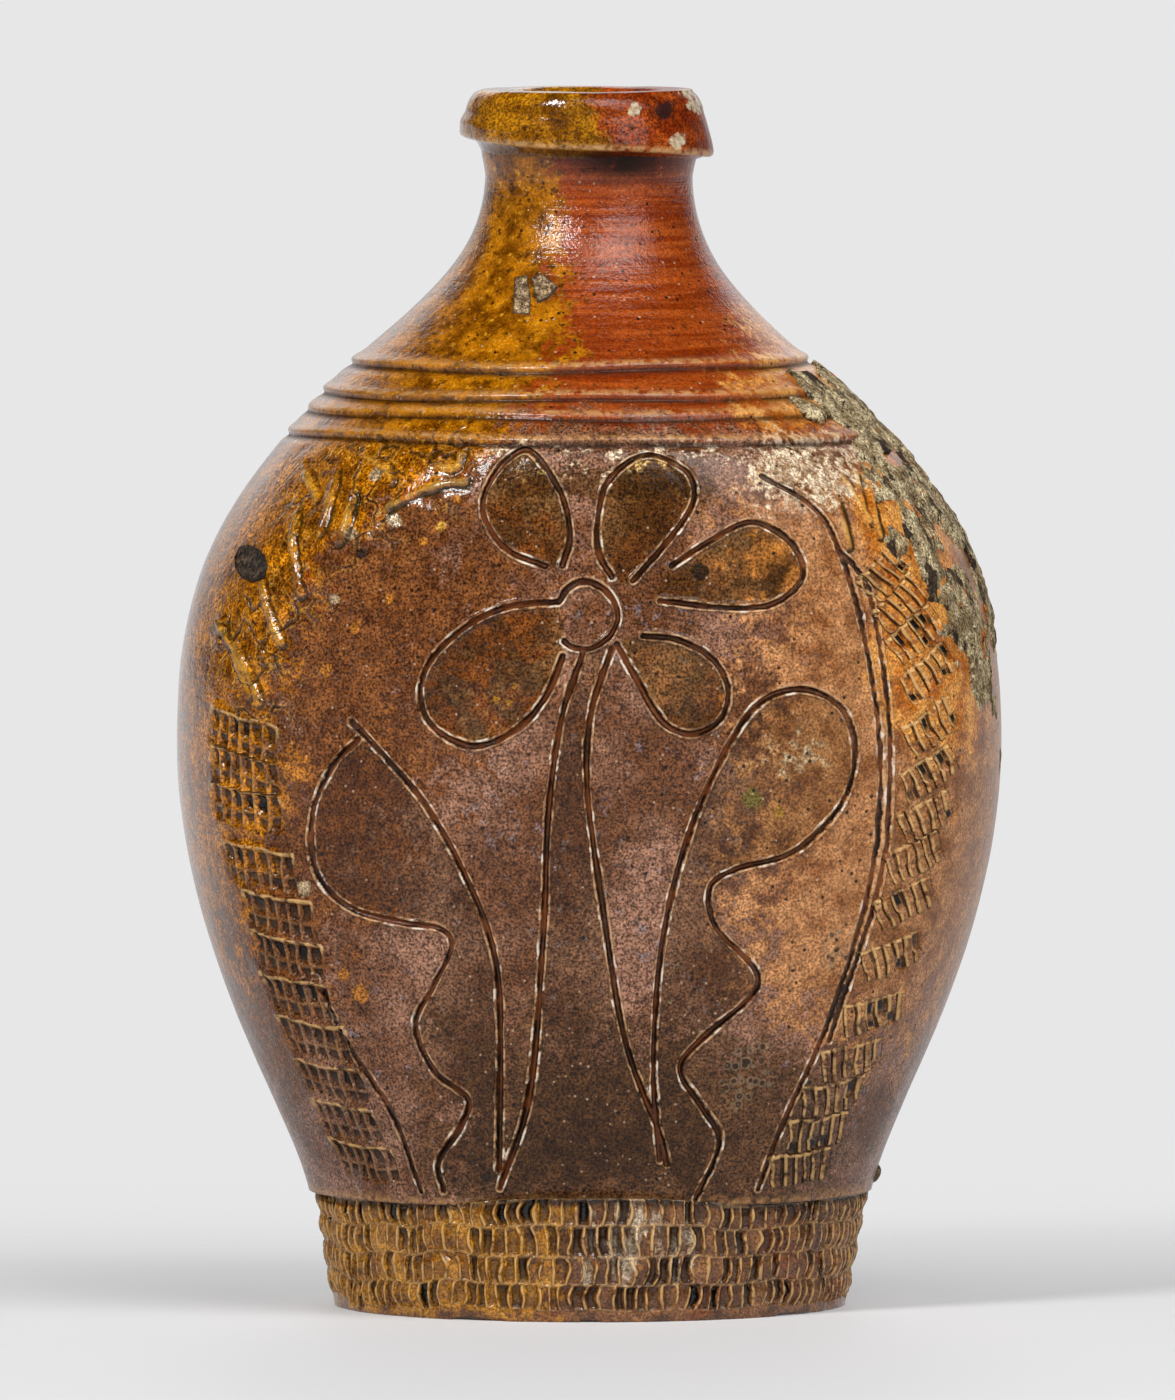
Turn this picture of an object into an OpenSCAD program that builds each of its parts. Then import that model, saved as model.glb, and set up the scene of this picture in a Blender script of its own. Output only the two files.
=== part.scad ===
// Stoneware flask: a thrown body paddled flat front and back, an applied lip collar,
// an applied foot strap rolled with a coggle wheel, a cork,
// and the crust and chips from the kiln that the glaze has caught.
// Millimetres, +Z up, origin at the middle of the standing face, +Y to the back.

/* [Body] */
// Height from the standing face to the rim
total_h = 190; // [180:1:205]
// Radius of the belly as it was thrown
belly_r = 64.5; // [60:0.5:72]
// Height of the widest part of the belly
belly_z = 88; // [80:1:96]
// Radius of the body's lower edge, over the foot
skirt_r = 44; // [42:0.2:48]
// Thickness of the thrown wall
wall = 5.5; // [4:0.25:6.5]
// Thickness of the floor
floor_t = 9; // [6:0.5:12]
// Radius of the flat inside the floor
hollow_floor_r = 22; // [16:0.5:25]
// Depth of the hollow under the floor
arch_h = 1.2; // [0.6:0.1:2]

/* [Flattened faces] */
// Half the depth of the body between the flattened faces
face_depth = 51; // [48:0.5:56]
// Height of the deepest part of the flattened faces
face_z = 93; // [85:1:100]
// Radius of the flattened faces, side to side
face_r = 97; // [85:1:120]
// Radius of the flattened faces, top to bottom
face_bow_r = 280; // [220:5:400]

/* [Shoulder and neck] */
// Radius of the shoulder at its top ring
shoulder_r = 34.4; // [32:0.2:37]
// Height of the neck, from the top ring to the rim
neck_h = 41.5; // [38:0.5:46]
// Slope of the shoulder at its top ring, in degrees
shoulder_slope = 42; // [38:1:48]
// Radius of the neck at its narrowest
neck_r = 16.25; // [14:0.25:19]
// Number of turned rings on the shoulder
ring_count = 4; // [2:1:5]
// Drop from one turned ring to the next
ring_pitch = 4.2; // [3.4:0.1:5]
// Radius of the groove of a turned ring
ring_groove_r = 0.9; // [0.5:0.1:1.4]
// Drop from the collar to the narrowest part of the neck
throat_drop = 4; // [2:0.5:6]
// Bevel of the mouth's inner edge
mouth_bevel = 1; // [0.5:0.1:1.5]

/* [Incised ornament] */
// Height of the flower's top over the standing face
flower_top = 135.4; // [130:0.2:138]
// Width of an incised line
line_w = 1; // [0.6:0.1:1.4]
// Depth of the incised lines and of the coggled strokes
carve_depth = 0.7; // [0.4:0.1:1.2]
// Coggled strokes down the left border
left_strokes = 11; // [5:1:11]
// Coggled strokes down the right border
right_strokes = 15; // [5:1:15]
// Distance from one stroke up to the next
stroke_pitch = 6.65; // [5.5:0.05:6.8]
// Width of a stroke
stroke_w = 4.8; // [3.6:0.2:5.2]
// Thickness of the clay left between a stroke's marks
mark_gap = 0.7; // [0.5:0.1:1]

/* [Lip collar] */
// Thickness of the collar over the neck
collar_t = 3.5; // [2:0.25:5]
// Height of the collar
collar_h = 9; // [7:0.5:11]
// Rounding of the collar's top edge
collar_round = 3.4; // [1.5:0.1:4]
// How far the collar leans in towards its top, as a share of its thickness
collar_lean = 0.3; // [0:0.05:0.5]

/* [Foot strap] */
// Height of the strap
foot_h = 18; // [14:0.5:18.5]
// Thickness of the strap at its lower edge
strap_t = 3.6; // [2.6:0.2:5]
// Radius of the strap at its lower edge
foot_r = 40; // [38:0.5:42]
// How far the strap leans out from its lower edge to its upper edge
strap_lean = 3; // [1:0.25:4]
// Rows of coggle marks
coggle_rows = 4; // [2:1:5]
// Marks in one row
coggle_count = 100; // [60:2:120]
// Depth of a mark
coggle_depth = 0.8; // [0.4:0.1:1.2]
// Height of the plain ridge over each row
coggle_ridge = 0.8; // [0.5:0.1:1.2]
// How far a ridge stands out over the marks
ridge_proud = 0.25; // [0.1:0.05:0.5]
// Share of the pitch that a mark takes
coggle_share = 0.6; // [0.4:0.05:0.75]

/* [Cork] */
// Length of the cork
cork_h = 24; // [16:1:26]
// How far the cork is sunk below the rim
cork_sink = 2; // [0.5:0.5:5]
// How much smaller the cork's radius is at its lower end
cork_taper = 1; // [0.4:0.1:2]
// Gap between the cork and the bore
cork_gap = 0.1; // [0.05:0.05:0.3]
// Bevel of the cork's ends
cork_bevel = 0.8; // [0.4:0.1:1.5]

/* [Kiln crust and chips] */
// Thickness of the crust on the right shoulder
crust_t = 1.2; // [0.6:0.1:1.6]
// Turn of the crust's middle from the front to the right, in degrees
crust_turn = 82; // [70:1:95]
// Height of the crust's middle
crust_z = 128; // [124:0.5:132]
// Radius of the crust's largest blot
crust_blot_r = 12; // [8:0.5:13]
// Height of the flat shards on the neck
shard_z = 157.5; // [154:0.5:168]
// Width of the shards
shard_w = 4; // [2:0.5:5]
// Thickness of the shards
shard_t = 1.4; // [1:0.1:2]
// Height of the grain on the left shoulder
shoulder_grain_z = 116; // [95:1:130]
// Height of the grain over the foot
foot_grain_z = 22; // [21:0.5:40]
// Radius of the grains
grain_r = 2.5; // [1.5:0.1:3.5]
// How far a grain is sunk below the wall, as a share of its radius
grain_sunk = 0.6; // [0.3:0.05:0.7]

/* [Hidden] */
$fn = 96;

// Heights and radii that follow from the sizes above
shoulder_z = total_h - neck_h;
collar_z = total_h - collar_h;
throat_z = collar_z - throat_drop;
bore_r = neck_r - wall;
core_r = foot_r - strap_t;
row_h = foot_h / coggle_rows;
top_round = min(collar_round, (1 - collar_lean) * collar_t - 0.1);

// Handles of the profile's curves, each along the wall at its own end
skirt_lean = 12;
skirt_handle = 12;
belly_handle_low = 32;
belly_handle_high = 28;
shoulder_handle_low = 30;
shoulder_handle_high = 17;
throat_handle = 11;
hollow_handle = 40;

// Handle of the bowl that rises from the flat of the floor
hollow_bowl = [8, 1];

// Steps along one curve of a profile
curve_steps = 14;
// How far a cutting shape runs past what it cuts
past = 1;

stoneware = [0.42, 0.27, 0.19];
amber_glaze = [0.55, 0.34, 0.14];
coggled_clay = [0.47, 0.31, 0.20];
cork_colour = [0.66, 0.48, 0.31];
grey_slag = [0.52, 0.51, 0.44];
dark_grit = [0.22, 0.20, 0.18];

// A point and the outward normal of a cubic curve, where p holds its four points
function curve_point(p, t) =
    pow(1 - t, 3) * p[0] + 3 * pow(1 - t, 2) * t * p[1] + 3 * (1 - t) * t * t * p[2] + pow(t, 3) * p[3];
function curve_heading(p, t) =
    pow(1 - t, 2) * (p[1] - p[0]) + 2 * (1 - t) * t * (p[2] - p[1]) + t * t * (p[3] - p[2]);
function curve_normal(p, t) = let (h = curve_heading(p, t)) [h[1], -h[0]] / norm(h);

// The points of a curve moved inwards by inset, without its first point
function run(p, inset = 0) =
    [for (i = [1:curve_steps]) let (t = i / curve_steps) curve_point(p, t) - inset * curve_normal(p, t)];

// The outer wall, as radius and height, from the foot up
lower_wall = [
    [skirt_r, foot_h],
    [skirt_r + skirt_handle * sin(skirt_lean), foot_h + skirt_handle * cos(skirt_lean)],
    [belly_r, belly_z - belly_handle_low],
    [belly_r, belly_z]
];
shoulder_along = [cos(shoulder_slope), -sin(shoulder_slope)];
upper_wall = [
    [belly_r, belly_z],
    [belly_r, belly_z + belly_handle_high],
    [shoulder_r, shoulder_z] + shoulder_handle_low * shoulder_along,
    [shoulder_r, shoulder_z]
];
neck_wall = [
    [shoulder_r, shoulder_z],
    [shoulder_r, shoulder_z] - shoulder_handle_high * shoulder_along,
    [neck_r, throat_z - throat_handle],
    [neck_r, throat_z]
];

// The bowl inside the foot, up to the belly
hollow_bottom = [
    [hollow_floor_r, floor_t],
    [hollow_floor_r, floor_t] + hollow_bowl,
    [belly_r - wall, belly_z - hollow_handle],
    [belly_r - wall, belly_z]
];

// Round blots that make up the crust's outline: how far right of its middle and over it, and
// their radius, all as shares of the largest blot's radius
crust_blots = [
    [-1.2, 1.1, 0.6], [-1.1, 0.2, 0.9], [-1.4, -0.75, 0.9],
    [-0.25, -0.9, 0.9], [0, 0.2, 1], [0.75, 0.85, 0.6]
];

// Where the shards and grains lie: turn from the front to the right in degrees, height, slant
shards = [[-27, shard_z, 25], [-12, shard_z + shard_w / 2, -35]];
grains = [[-62, shoulder_grain_z], [88, foot_grain_z]];

// The ornament as seen from the front: x and height of the points that each line passes through,
// for a flower whose top is this high
drawn_top = 135.4;
petals = [
    [[-4.2, 118], [-3, 122.7], [-4.4, 129.2], [-8.7, 135.4], [-15.6, 130.2], [-15, 122.8], [-6.9, 117.9]],
    [[3.5, 116.2], [1.2, 124], [2.9, 130.8], [8.7, 134.9], [16.3, 129.8], [12.4, 122], [6.7, 115.6]],
    [[12.7, 117.9], [24.2, 124.4], [32.2, 119.9], [32.8, 115.5], [28.6, 111.9], [21.7, 111.3], [10.9, 112.5]],
    [[-6.4, 112.2], [-18.3, 109], [-26.1, 98], [-24.2, 92.9], [-18, 90], [-11.2, 92.7], [-4.6, 102.6]],
    [[8.3, 107.1], [18.9, 103.6], [21.5, 98.8], [20.2, 94], [15.7, 91.9], [11.2, 94], [6, 103]]
];
flower_eye = [[-4.2, 112.8], [-0.5, 115.5], [4.4, 110.6], [0.2, 105.8], [-3.4, 106.9]];
stems = [
    [[-1.2, 103.4], [-6.3, 80.4], [-7.2, 60.4], [-9.2, 36], [-12.6, 21.4]],
    [[2.6, 103.2], [-0.3, 83], [1.9, 66.1], [5.5, 44.3], [10.2, 26.4]]
];
left_leaf = [
    [[-36.8, 93.5], [-24.8, 80], [-14.8, 58], [-13.8, 47], [-14.2, 25]],
    [[-36.6, 90], [-42.8, 79], [-42.4, 70], [-37.1, 64.5], [-23.2, 61.6], [-21.3, 58.8], [-26.9, 46.6],
     [-24.1, 39.3], [-18.9, 35], [-23.3, 25], [-22.6, 21]]
];
right_leaf = [
    [[12, 27], [9.9, 40], [11.2, 59], [15.6, 77], [22.4, 91.6], [27.6, 97.4], [34, 98.4], [41.1, 88], [38.6, 80.2],
     [31.6, 73.4], [18.6, 67.8], [25.6, 55.2], [25, 51], [14, 39.6], [20.1, 28], [17, 21]]
];
panel_lines = [
    [[-42.7, 53.5], [-36.8, 42], [-30.4, 32], [-26.4, 21]],
    [[26.7, 131.5], [34.6, 126.6], [42.8, 105.2], [45, 87], [43.6, 69], [37.7, 48.6], [26.6, 21]]
];
// The coggled borders, by height: x of a stroke's middle, its slope in degrees and its length
left_middles = [[24, -34.9], [42, -42.4], [61, -48.2], [77, -53], [91, -54]];
left_slopes = [[24, -6], [91, -12]];
left_lengths = [[24, 13], [91, 11]];
right_middles = [[24, 33.4], [42, 42], [64, 49], [84, 52.8], [100, 52.4], [117, 46.2]];
right_slopes = [[24, 7], [117, 36]];
right_lengths = [[24, 12], [84, 8], [117, 8]];
border_low = 24;
left_marks = 4;
right_marks = 3;
// Steps from one point of a line to the next
line_steps = 2;

// How far along a curve, from 0 to 1, it has risen to height z
function rise(p, z, low = 0, high = 1, turn = 0) =
    let (mid = (low + high) / 2)
    turn == 24 ? mid
    : curve_point(p, mid)[1] < z ? rise(p, z, mid, high, turn + 1) : rise(p, z, low, mid, turn + 1);

// The wall's point at height z
function wall_at(z) =
    let (p = z < belly_z ? lower_wall : z < shoulder_z ? upper_wall : neck_wall)
    curve_point(p, rise(p, z));

// The thrown shape, solid, with its turned rings and the seats of the collar and the strap
module thrown_profile() {
    difference() {
        polygon(concat(
            [[0, arch_h], [core_r / 2, arch_h], [core_r - strap_t, 0], [core_r, 0], [core_r, foot_h]],
            [[skirt_r, foot_h]],
            run(lower_wall), run(upper_wall), run(neck_wall),
            [[neck_r, total_h], [0, total_h]]
        ));
        for (i = [0:ring_count - 1])
            translate(wall_at(shoulder_z - 0.01 - i * ring_pitch)) circle(r = ring_groove_r);
    }
}

// The space inside, from the floor to past the rim
module hollow_profile() {
    polygon(concat(
        [[0, floor_t], [hollow_floor_r, floor_t]],
        run(hollow_bottom), run(upper_wall, wall), run(neck_wall, wall),
        [[bore_r, total_h - mouth_bevel], [bore_r + mouth_bevel + past, total_h + past], [0, total_h + past]]
    ));
}

// One flattened face: a barrel about an upright line behind it, drawn in by inset, and straight
// below the top of the foot
module flat_face(inset) {
    bow_centre = face_r - face_bow_r;
    reach = total_h + past;
    bow_steps = 3 * curve_steps;
    function bow(z) = bow_centre - inset + sqrt(pow(face_bow_r, 2) - pow(max(z, foot_h) - face_z, 2));
    translate([0, face_r - face_depth, 0])
        rotate_extrude()
            polygon(concat(
                [[0, -past], [bow(-past), -past]],
                [for (i = [0:bow_steps]) let (z = foot_h + i * (reach - foot_h) / bow_steps) [bow(z), z]],
                [[0, reach]]
            ));
}

// What is left between the front face and the back face
module paddled(inset) {
    intersection() {
        flat_face(inset);
        rotate([0, 0, 180]) flat_face(inset);
    }
}

// The body's outside, without its hollow
module body_outside() {
    intersection() {
        rotate_extrude() thrown_profile();
        paddled(0);
    }
}

// A smooth line through points, and the same points in the other order
function between(a, b, c, d, t) =
    (2 * b + (c - a) * t + (2 * a - 5 * b + 4 * c - d) * t * t + (3 * b - a - 3 * c + d) * pow(t, 3)) / 2;
function smooth(p) =
    let (last = len(p) - 1, q = concat([2 * p[0] - p[1]], p, [2 * p[last] - p[last - 1]]))
    concat(
        [for (i = [0:last - 1], j = [0:line_steps - 1])
            between(q[i], q[i + 1], q[i + 2], q[i + 3], j / line_steps)],
        [p[last]]
    );
function backwards(p) = [for (i = [len(p) - 1:-1:0]) p[i]];

// The points of a line, each moved to its left by reach
function beside(p, reach) = [
    for (i = [0:len(p) - 1])
        let (heading = p[min(i + 1, len(p) - 1)] - p[max(i - 1, 0)])
        p[i] + reach * [-heading[1], heading[0]] / norm(heading)
];

module incised_line(points) {
    line = smooth(points * flower_top / drawn_top);
    polygon(concat(beside(line, line_w / 2), backwards(beside(line, -line_w / 2))));
}

// One stroke of the coggle wheel: two rows of marks
module coggled_stroke(length, marks) {
    for (row = [-1, 1], i = [0:marks - 1])
        translate([length * ((i + 0.5) / marks - 0.5), row * stroke_w / 4])
            square([length / marks - mark_gap, stroke_w / 2 - mark_gap], center = true);
}

module coggled_border(middles, slopes, lengths, count, marks) {
    grown = flower_top / drawn_top;
    for (i = [0:count - 1]) {
        z = border_low * grown + i * stroke_pitch;
        drawn = z / grown;
        translate([lookup(drawn, middles) * grown, z])
            rotate(lookup(drawn, slopes)) coggled_stroke(lookup(drawn, lengths) * grown, marks);
    }
}

module ornament() {
    for (line = concat(petals, [flower_eye], stems, left_leaf, right_leaf, panel_lines)) incised_line(line);
    coggled_border(left_middles, left_slopes, left_lengths, left_strokes, left_marks);
    coggled_border(right_middles, right_slopes, right_lengths, right_strokes, right_marks);
}

// The ornament's lines and marks, down to their depth under the body's front
module carving() {
    difference() {
        rotate([90, 0, 0]) linear_extrude(belly_r) ornament();
        intersection() {
            rotate_extrude()
                polygon(concat(
                    [[0, 0], [skirt_r - carve_depth, 0], [skirt_r - carve_depth, foot_h]],
                    run(lower_wall, carve_depth), run(upper_wall, carve_depth),
                    [[0, shoulder_z]]
                ));
            paddled(carve_depth);
        }
    }
}

module thrown_body() {
    color(stoneware)
        difference() {
            body_outside();
            intersection() {
                rotate_extrude() hollow_profile();
                paddled(wall);
            }
            chips();
            carving();
        }
}

// The collar round the mouth: a rounded top edge, and a lower edge that overhangs the neck
module lip_collar() {
    collar_r = neck_r + collar_t;
    top_r = collar_r - collar_lean * collar_t;
    draw_in = 0.3 * collar_t;
    color(amber_glaze)
        rotate_extrude()
            union() {
                polygon([
                    [neck_r, collar_z + draw_in],
                    [collar_r, collar_z],
                    [top_r, total_h - top_round],
                    [top_r - top_round, total_h - top_round],
                    [top_r - top_round, total_h],
                    [neck_r, total_h]
                ]);
                intersection() {
                    translate([top_r - top_round, total_h - top_round]) circle(r = top_round);
                    translate([top_r - top_round, total_h - top_round]) square(top_round);
                }
            }
}

// Outline of one row of coggle marks, cut into a circle of radius r
module coggled_outline(r) {
    pitch = 360 / coggle_count;
    mark = coggle_share * pitch;
    polygon([
        for (i = [0:coggle_count - 1], corner = [0, 1, 2, 3])
            let (
                angle = i * pitch + (corner < 2 ? 0 : mark),
                at = corner == 0 || corner == 3 ? r : r - coggle_depth
            )
            at * [cos(angle), sin(angle)]
    ]);
}

// The strap round the foot, each row of marks a little wider than the row below it
module foot_strap() {
    color(coggled_clay)
        difference() {
            union() {
                for (i = [0:coggle_rows - 1]) {
                    r = foot_r + strap_lean * (i + 0.5) / coggle_rows;
                    translate([0, 0, i * row_h]) linear_extrude(row_h - coggle_ridge) coggled_outline(r);
                    translate([0, 0, (i + 1) * row_h - coggle_ridge])
                        cylinder(r = r + ridge_proud, h = coggle_ridge);
                }
            }
            translate([0, 0, -past]) cylinder(r = core_r, h = foot_h + 2 * past);
        }
}

// The cork in the bore, a little smaller at its lower end
module cork() {
    top = total_h - cork_sink;
    bottom = top - cork_h;
    top_r = bore_r - cork_gap;
    bottom_r = top_r - cork_taper;
    color(cork_colour)
        rotate_extrude()
            polygon([
                [0, bottom], [bottom_r - cork_bevel, bottom], [bottom_r, bottom + cork_bevel],
                [top_r, top - cork_bevel], [top_r - cork_bevel, top], [0, top]
            ]);
}

// The rough crust of slag and ash on the right shoulder, which follows the wall under it
module kiln_crust() {
    color(grey_slag)
        difference() {
            intersection() {
                rotate_extrude()
                    polygon(concat(
                        [[0, belly_z], [belly_r + crust_t, belly_z]],
                        run(upper_wall, -crust_t), run(neck_wall, -crust_t),
                        [[0, throat_z]]
                    ));
                rotate([90, 0, crust_turn])
                    linear_extrude(belly_r + crust_t + past)
                        for (blot = crust_blots)
                            translate([crust_blot_r * blot[0], crust_z + crust_blot_r * blot[1]])
                                circle(r = crust_blot_r * blot[2]);
            }
            body_outside();
        }
}

// Two flat shards on the neck, a dark grain on the left shoulder and one over the foot
module chips() {
    for (s = shards)
        rotate([0, 0, s[0]])
            translate([0, -wall_at(s[1])[0], s[1]])
                rotate([-shoulder_slope, s[2], 0]) cube([shard_w, shard_t, shard_w], center = true);
    for (g = grains)
        rotate([0, 0, g[0]])
            translate([0, grain_sunk * grain_r - wall_at(g[1])[0], g[1]]) sphere(r = grain_r);
}

module kiln_chips() {
    color(dark_grit) chips();
}

thrown_body();
lip_collar();
foot_strap();
cork();
kiln_crust();
kiln_chips();
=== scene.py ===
"""A salt-glazed stoneware flask with an incised flower, a coggled foot strap and a cork."""

import math

import bmesh
import bpy
import numpy as np
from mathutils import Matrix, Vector
from mathutils.kdtree import KDTree


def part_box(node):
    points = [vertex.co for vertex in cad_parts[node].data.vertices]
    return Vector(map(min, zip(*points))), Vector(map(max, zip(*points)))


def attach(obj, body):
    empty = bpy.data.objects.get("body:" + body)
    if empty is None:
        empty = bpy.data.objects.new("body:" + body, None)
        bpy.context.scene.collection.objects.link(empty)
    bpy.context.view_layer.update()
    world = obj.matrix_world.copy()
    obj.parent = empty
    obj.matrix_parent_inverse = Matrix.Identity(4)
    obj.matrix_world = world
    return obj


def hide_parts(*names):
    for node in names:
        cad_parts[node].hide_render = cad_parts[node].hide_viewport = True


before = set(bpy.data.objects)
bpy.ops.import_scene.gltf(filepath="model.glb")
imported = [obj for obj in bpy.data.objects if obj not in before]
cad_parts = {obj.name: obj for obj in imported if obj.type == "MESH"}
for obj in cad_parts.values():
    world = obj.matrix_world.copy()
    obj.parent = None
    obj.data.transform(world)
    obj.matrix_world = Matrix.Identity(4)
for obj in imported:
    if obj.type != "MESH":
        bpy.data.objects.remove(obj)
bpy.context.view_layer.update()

# Every length below is in millimetres; the meshes are brought to metres when they are finished.
MM = 0.001


def node_box(node):
    """The lowest and highest corner of a solid of the frame."""
    low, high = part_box(node)
    return low / MM, high / MM


# Sizes from the frame
BODY_LOW, BODY_HIGH = node_box("thrown_body")
_, STRAP_HIGH = node_box("foot_strap")
COLLAR_LOW, COLLAR_HIGH = node_box("lip_collar")
CORK_LOW, CORK_HIGH = node_box("cork")
TOTAL_H = BODY_HIGH.z
BELLY_R = BODY_HIGH.x
FACE_DEPTH = BODY_HIGH.y
FOOT_H = STRAP_HIGH.z
COLLAR_Z = COLLAR_LOW.z
COLLAR_R = COLLAR_HIGH.x

# Sizes of the thrown wall
BELLY_Z = 88.0
SKIRT_R = 44.0
SHOULDER_R = 34.4
SHOULDER_Z = TOTAL_H - 41.5
SHOULDER_SLOPE = math.radians(42)
NECK_R = 16.25
THROAT_Z = COLLAR_Z - 4.0
NECK_LEAN = 1.0
WALL = 5.5
BORE_R = NECK_R - WALL
FLOOR_Z = 9.0
HOLLOW_FLOOR_R = 22.0
CORE_R = 36.4
ARCH_H = 1.2
FACE_R = 97.0
FACE_BOW_R = 280.0
FACE_Z = 93.0
# How softly a flattened face runs into the round wall
FACE_SOFT = 4.0
# Room left under the flattened faces and under the round wall for burrs and glaze runs
FACE_ROOM = 0.35
WALL_ROOM = 0.08


def cubic(p0, p1, p2, p3, steps=48):
    """Points along a cubic curve."""
    t = np.linspace(0, 1, steps)[:, None]
    p0, p1, p2, p3 = (np.array(p) for p in (p0, p1, p2, p3))
    return (1 - t) ** 3 * p0 + 3 * (1 - t) ** 2 * t * p1 + 3 * (1 - t) * t * t * p2 + t ** 3 * p3


def outer_profile():
    """The thrown wall's outside, as radius and height, from the foot to the rim."""
    lean = math.radians(12)
    along = np.array([math.cos(SHOULDER_SLOPE), -math.sin(SHOULDER_SLOPE)])
    shoulder = np.array([SHOULDER_R, SHOULDER_Z])
    lower = cubic(
        (SKIRT_R, FOOT_H),
        (SKIRT_R + 12 * math.sin(lean), FOOT_H + 12 * math.cos(lean)),
        (BELLY_R, BELLY_Z - 32),
        (BELLY_R, BELLY_Z),
    )
    upper = cubic((BELLY_R, BELLY_Z), (BELLY_R, BELLY_Z + 28), shoulder + 30 * along, shoulder)
    neck = cubic(shoulder, shoulder - 17 * along, (NECK_R, THROAT_Z - 11), (NECK_R, THROAT_Z))
    return np.vstack([lower, upper[1:], neck[1:], [[NECK_R, TOTAL_H]]])


PROFILE = outer_profile()


def round_r(height):
    """The radius of the wall as it was thrown."""
    return np.interp(height, PROFILE[:, 1], PROFILE[:, 0])


def face_r(turn, height):
    """How far out the flattened faces let the wall reach; turn is from the front to the right."""
    bow = FACE_R - FACE_BOW_R + np.sqrt(FACE_BOW_R ** 2 - (np.maximum(height, FOOT_H) - FACE_Z) ** 2)
    back = FACE_R - FACE_DEPTH
    return -back * np.abs(np.cos(turn)) + np.sqrt(bow ** 2 - (back * np.sin(turn)) ** 2)


def skin_r(turn, height):
    """The radius of the paddled wall, with a soft edge round the flattened faces."""
    thrown, face = round_r(height) - WALL_ROOM, face_r(turn, height) - FACE_ROOM
    soft = np.maximum(FACE_SOFT - np.abs(thrown - face), 0) / FACE_SOFT
    return np.minimum(thrown, face) - soft ** 2 * FACE_SOFT / 4


def at(turn, height, radius):
    """Points from their turn, height and radius."""
    return np.stack([radius * np.sin(turn), -radius * np.cos(turn), height], axis=-1)


def on_skin(turn, height):
    return at(turn, height, skin_r(turn, height))


def turn_at(x, height):
    """The turn at which the wall's front stands at x."""
    x, height = np.broadcast_arrays(np.asarray(x, float), np.asarray(height, float))
    low, high = np.full(x.shape, -math.pi / 2), np.full(x.shape, math.pi / 2)
    for _ in range(30):
        middle = (low + high) / 2
        inside = skin_r(middle, height) * np.sin(middle) < x
        low, high = np.where(inside, middle, low), np.where(inside, high, middle)
    return (low + high) / 2


def on_front(x, height):
    """Points of the wall's front, from where they are seen."""
    return on_skin(turn_at(x, height), np.asarray(height, float))


# Whole numbers that scramble a corner of the grid and a seed into a random value
SCRAMBLE_STEPS = np.array([374761393, 668265263, 1103515245])
SCRAMBLE_SEED = 974711
SCRAMBLE_ROUNDS = ((13, 1274126177), (15, 668265263))
LOW_BITS = 0xFFFFFFFF


def lumps(points, size, seed=0):
    """Smooth random values from -1 to 1, in lumps about size across."""
    cell = np.asarray(points) / size
    low = np.floor(cell).astype(np.int64)
    part = cell - low
    part = part * part * (3 - 2 * part)
    total = np.zeros(len(cell))
    for corner in np.ndindex(2, 2, 2):
        key = low + np.array(corner)
        mixed = (key @ SCRAMBLE_STEPS + seed * SCRAMBLE_SEED) & LOW_BITS
        for shift, factor in SCRAMBLE_ROUNDS:
            mixed = ((mixed ^ (mixed >> shift)) * factor) & LOW_BITS
        share = np.prod(np.where(np.array(corner) == 1, part, 1 - part), axis=1)
        total += share * ((mixed >> 8) / float(1 << 23) - 1)
    return total


def ease(value, low, high):
    """A smooth step from 0 at low to 1 at high."""
    t = np.clip((value - low) / (high - low), 0, 1)
    return t * t * (3 - 2 * t)


def bell(value, middle, reach):
    """1 at the middle, falling off smoothly on both sides."""
    return np.exp(-((value - middle) / reach) ** 2)


def through(points, step=0.2):
    """A smooth line through a few points, as points about one step apart."""
    points = np.array(points, float)
    ends = np.vstack([2 * points[0] - points[1], points, 2 * points[-1] - points[-2]])
    line = []
    for before, start, stop, after in zip(ends, ends[1:], ends[2:], ends[3:]):
        count = max(2, int(np.linalg.norm(stop - start) / step))
        t = np.linspace(0, 1, count, endpoint=False)[:, None]
        line.append(
            0.5 * (
                2 * start + (stop - before) * t
                + (2 * before - 5 * start + 4 * stop - after) * t ** 2
                + (3 * start - before - 3 * stop + after) * t ** 3
            )
        )
    return np.vstack(line + [points[-1:]])


# The incised ornament on the front, as x and height of the points that each line passes through
PETALS = [
    [(-4.2, 118), (-3, 122.7), (-4.4, 129.2), (-8.7, 135.4), (-12.5, 134.2), (-15.6, 130.2), (-16.5, 126.6),
     (-15, 122.8), (-12, 119.9), (-6.9, 117.9)],
    [(3.5, 116.2), (1.6, 119.5), (1.2, 124), (2.9, 130.8), (8.7, 134.9), (14.6, 132.8), (16.3, 129.8),
     (15.6, 126.6), (12.4, 122), (6.7, 115.6)],
    [(12.7, 117.9), (17.7, 121.1), (24.2, 124.4), (28.6, 123.3), (32.2, 119.9), (32.8, 115.5), (28.6, 111.9),
     (21.7, 111.3), (10.9, 112.5)],
    [(-4.7, 112.4), (-12, 111.7), (-18.3, 109), (-24.2, 103.6), (-26.1, 98), (-24.2, 92.9), (-18, 90),
     (-11.2, 92.7), (-6.6, 98), (-4.1, 104)],
    [(8.3, 107.1), (13.5, 106.5), (18.9, 103.6), (21.5, 98.8), (20.2, 94), (15.7, 91.9), (11.2, 94),
     (7.2, 100.5), (4.2, 105.9)],
]
FLOWER_EYE = [(-4.7, 112.4), (-3, 114.7), (-0.5, 115.5), (2.6, 114), (4.4, 110.6), (3.2, 107.2), (0.2, 105.2),
              (-2.6, 105.4), (-3.9, 106.3)]
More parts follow.
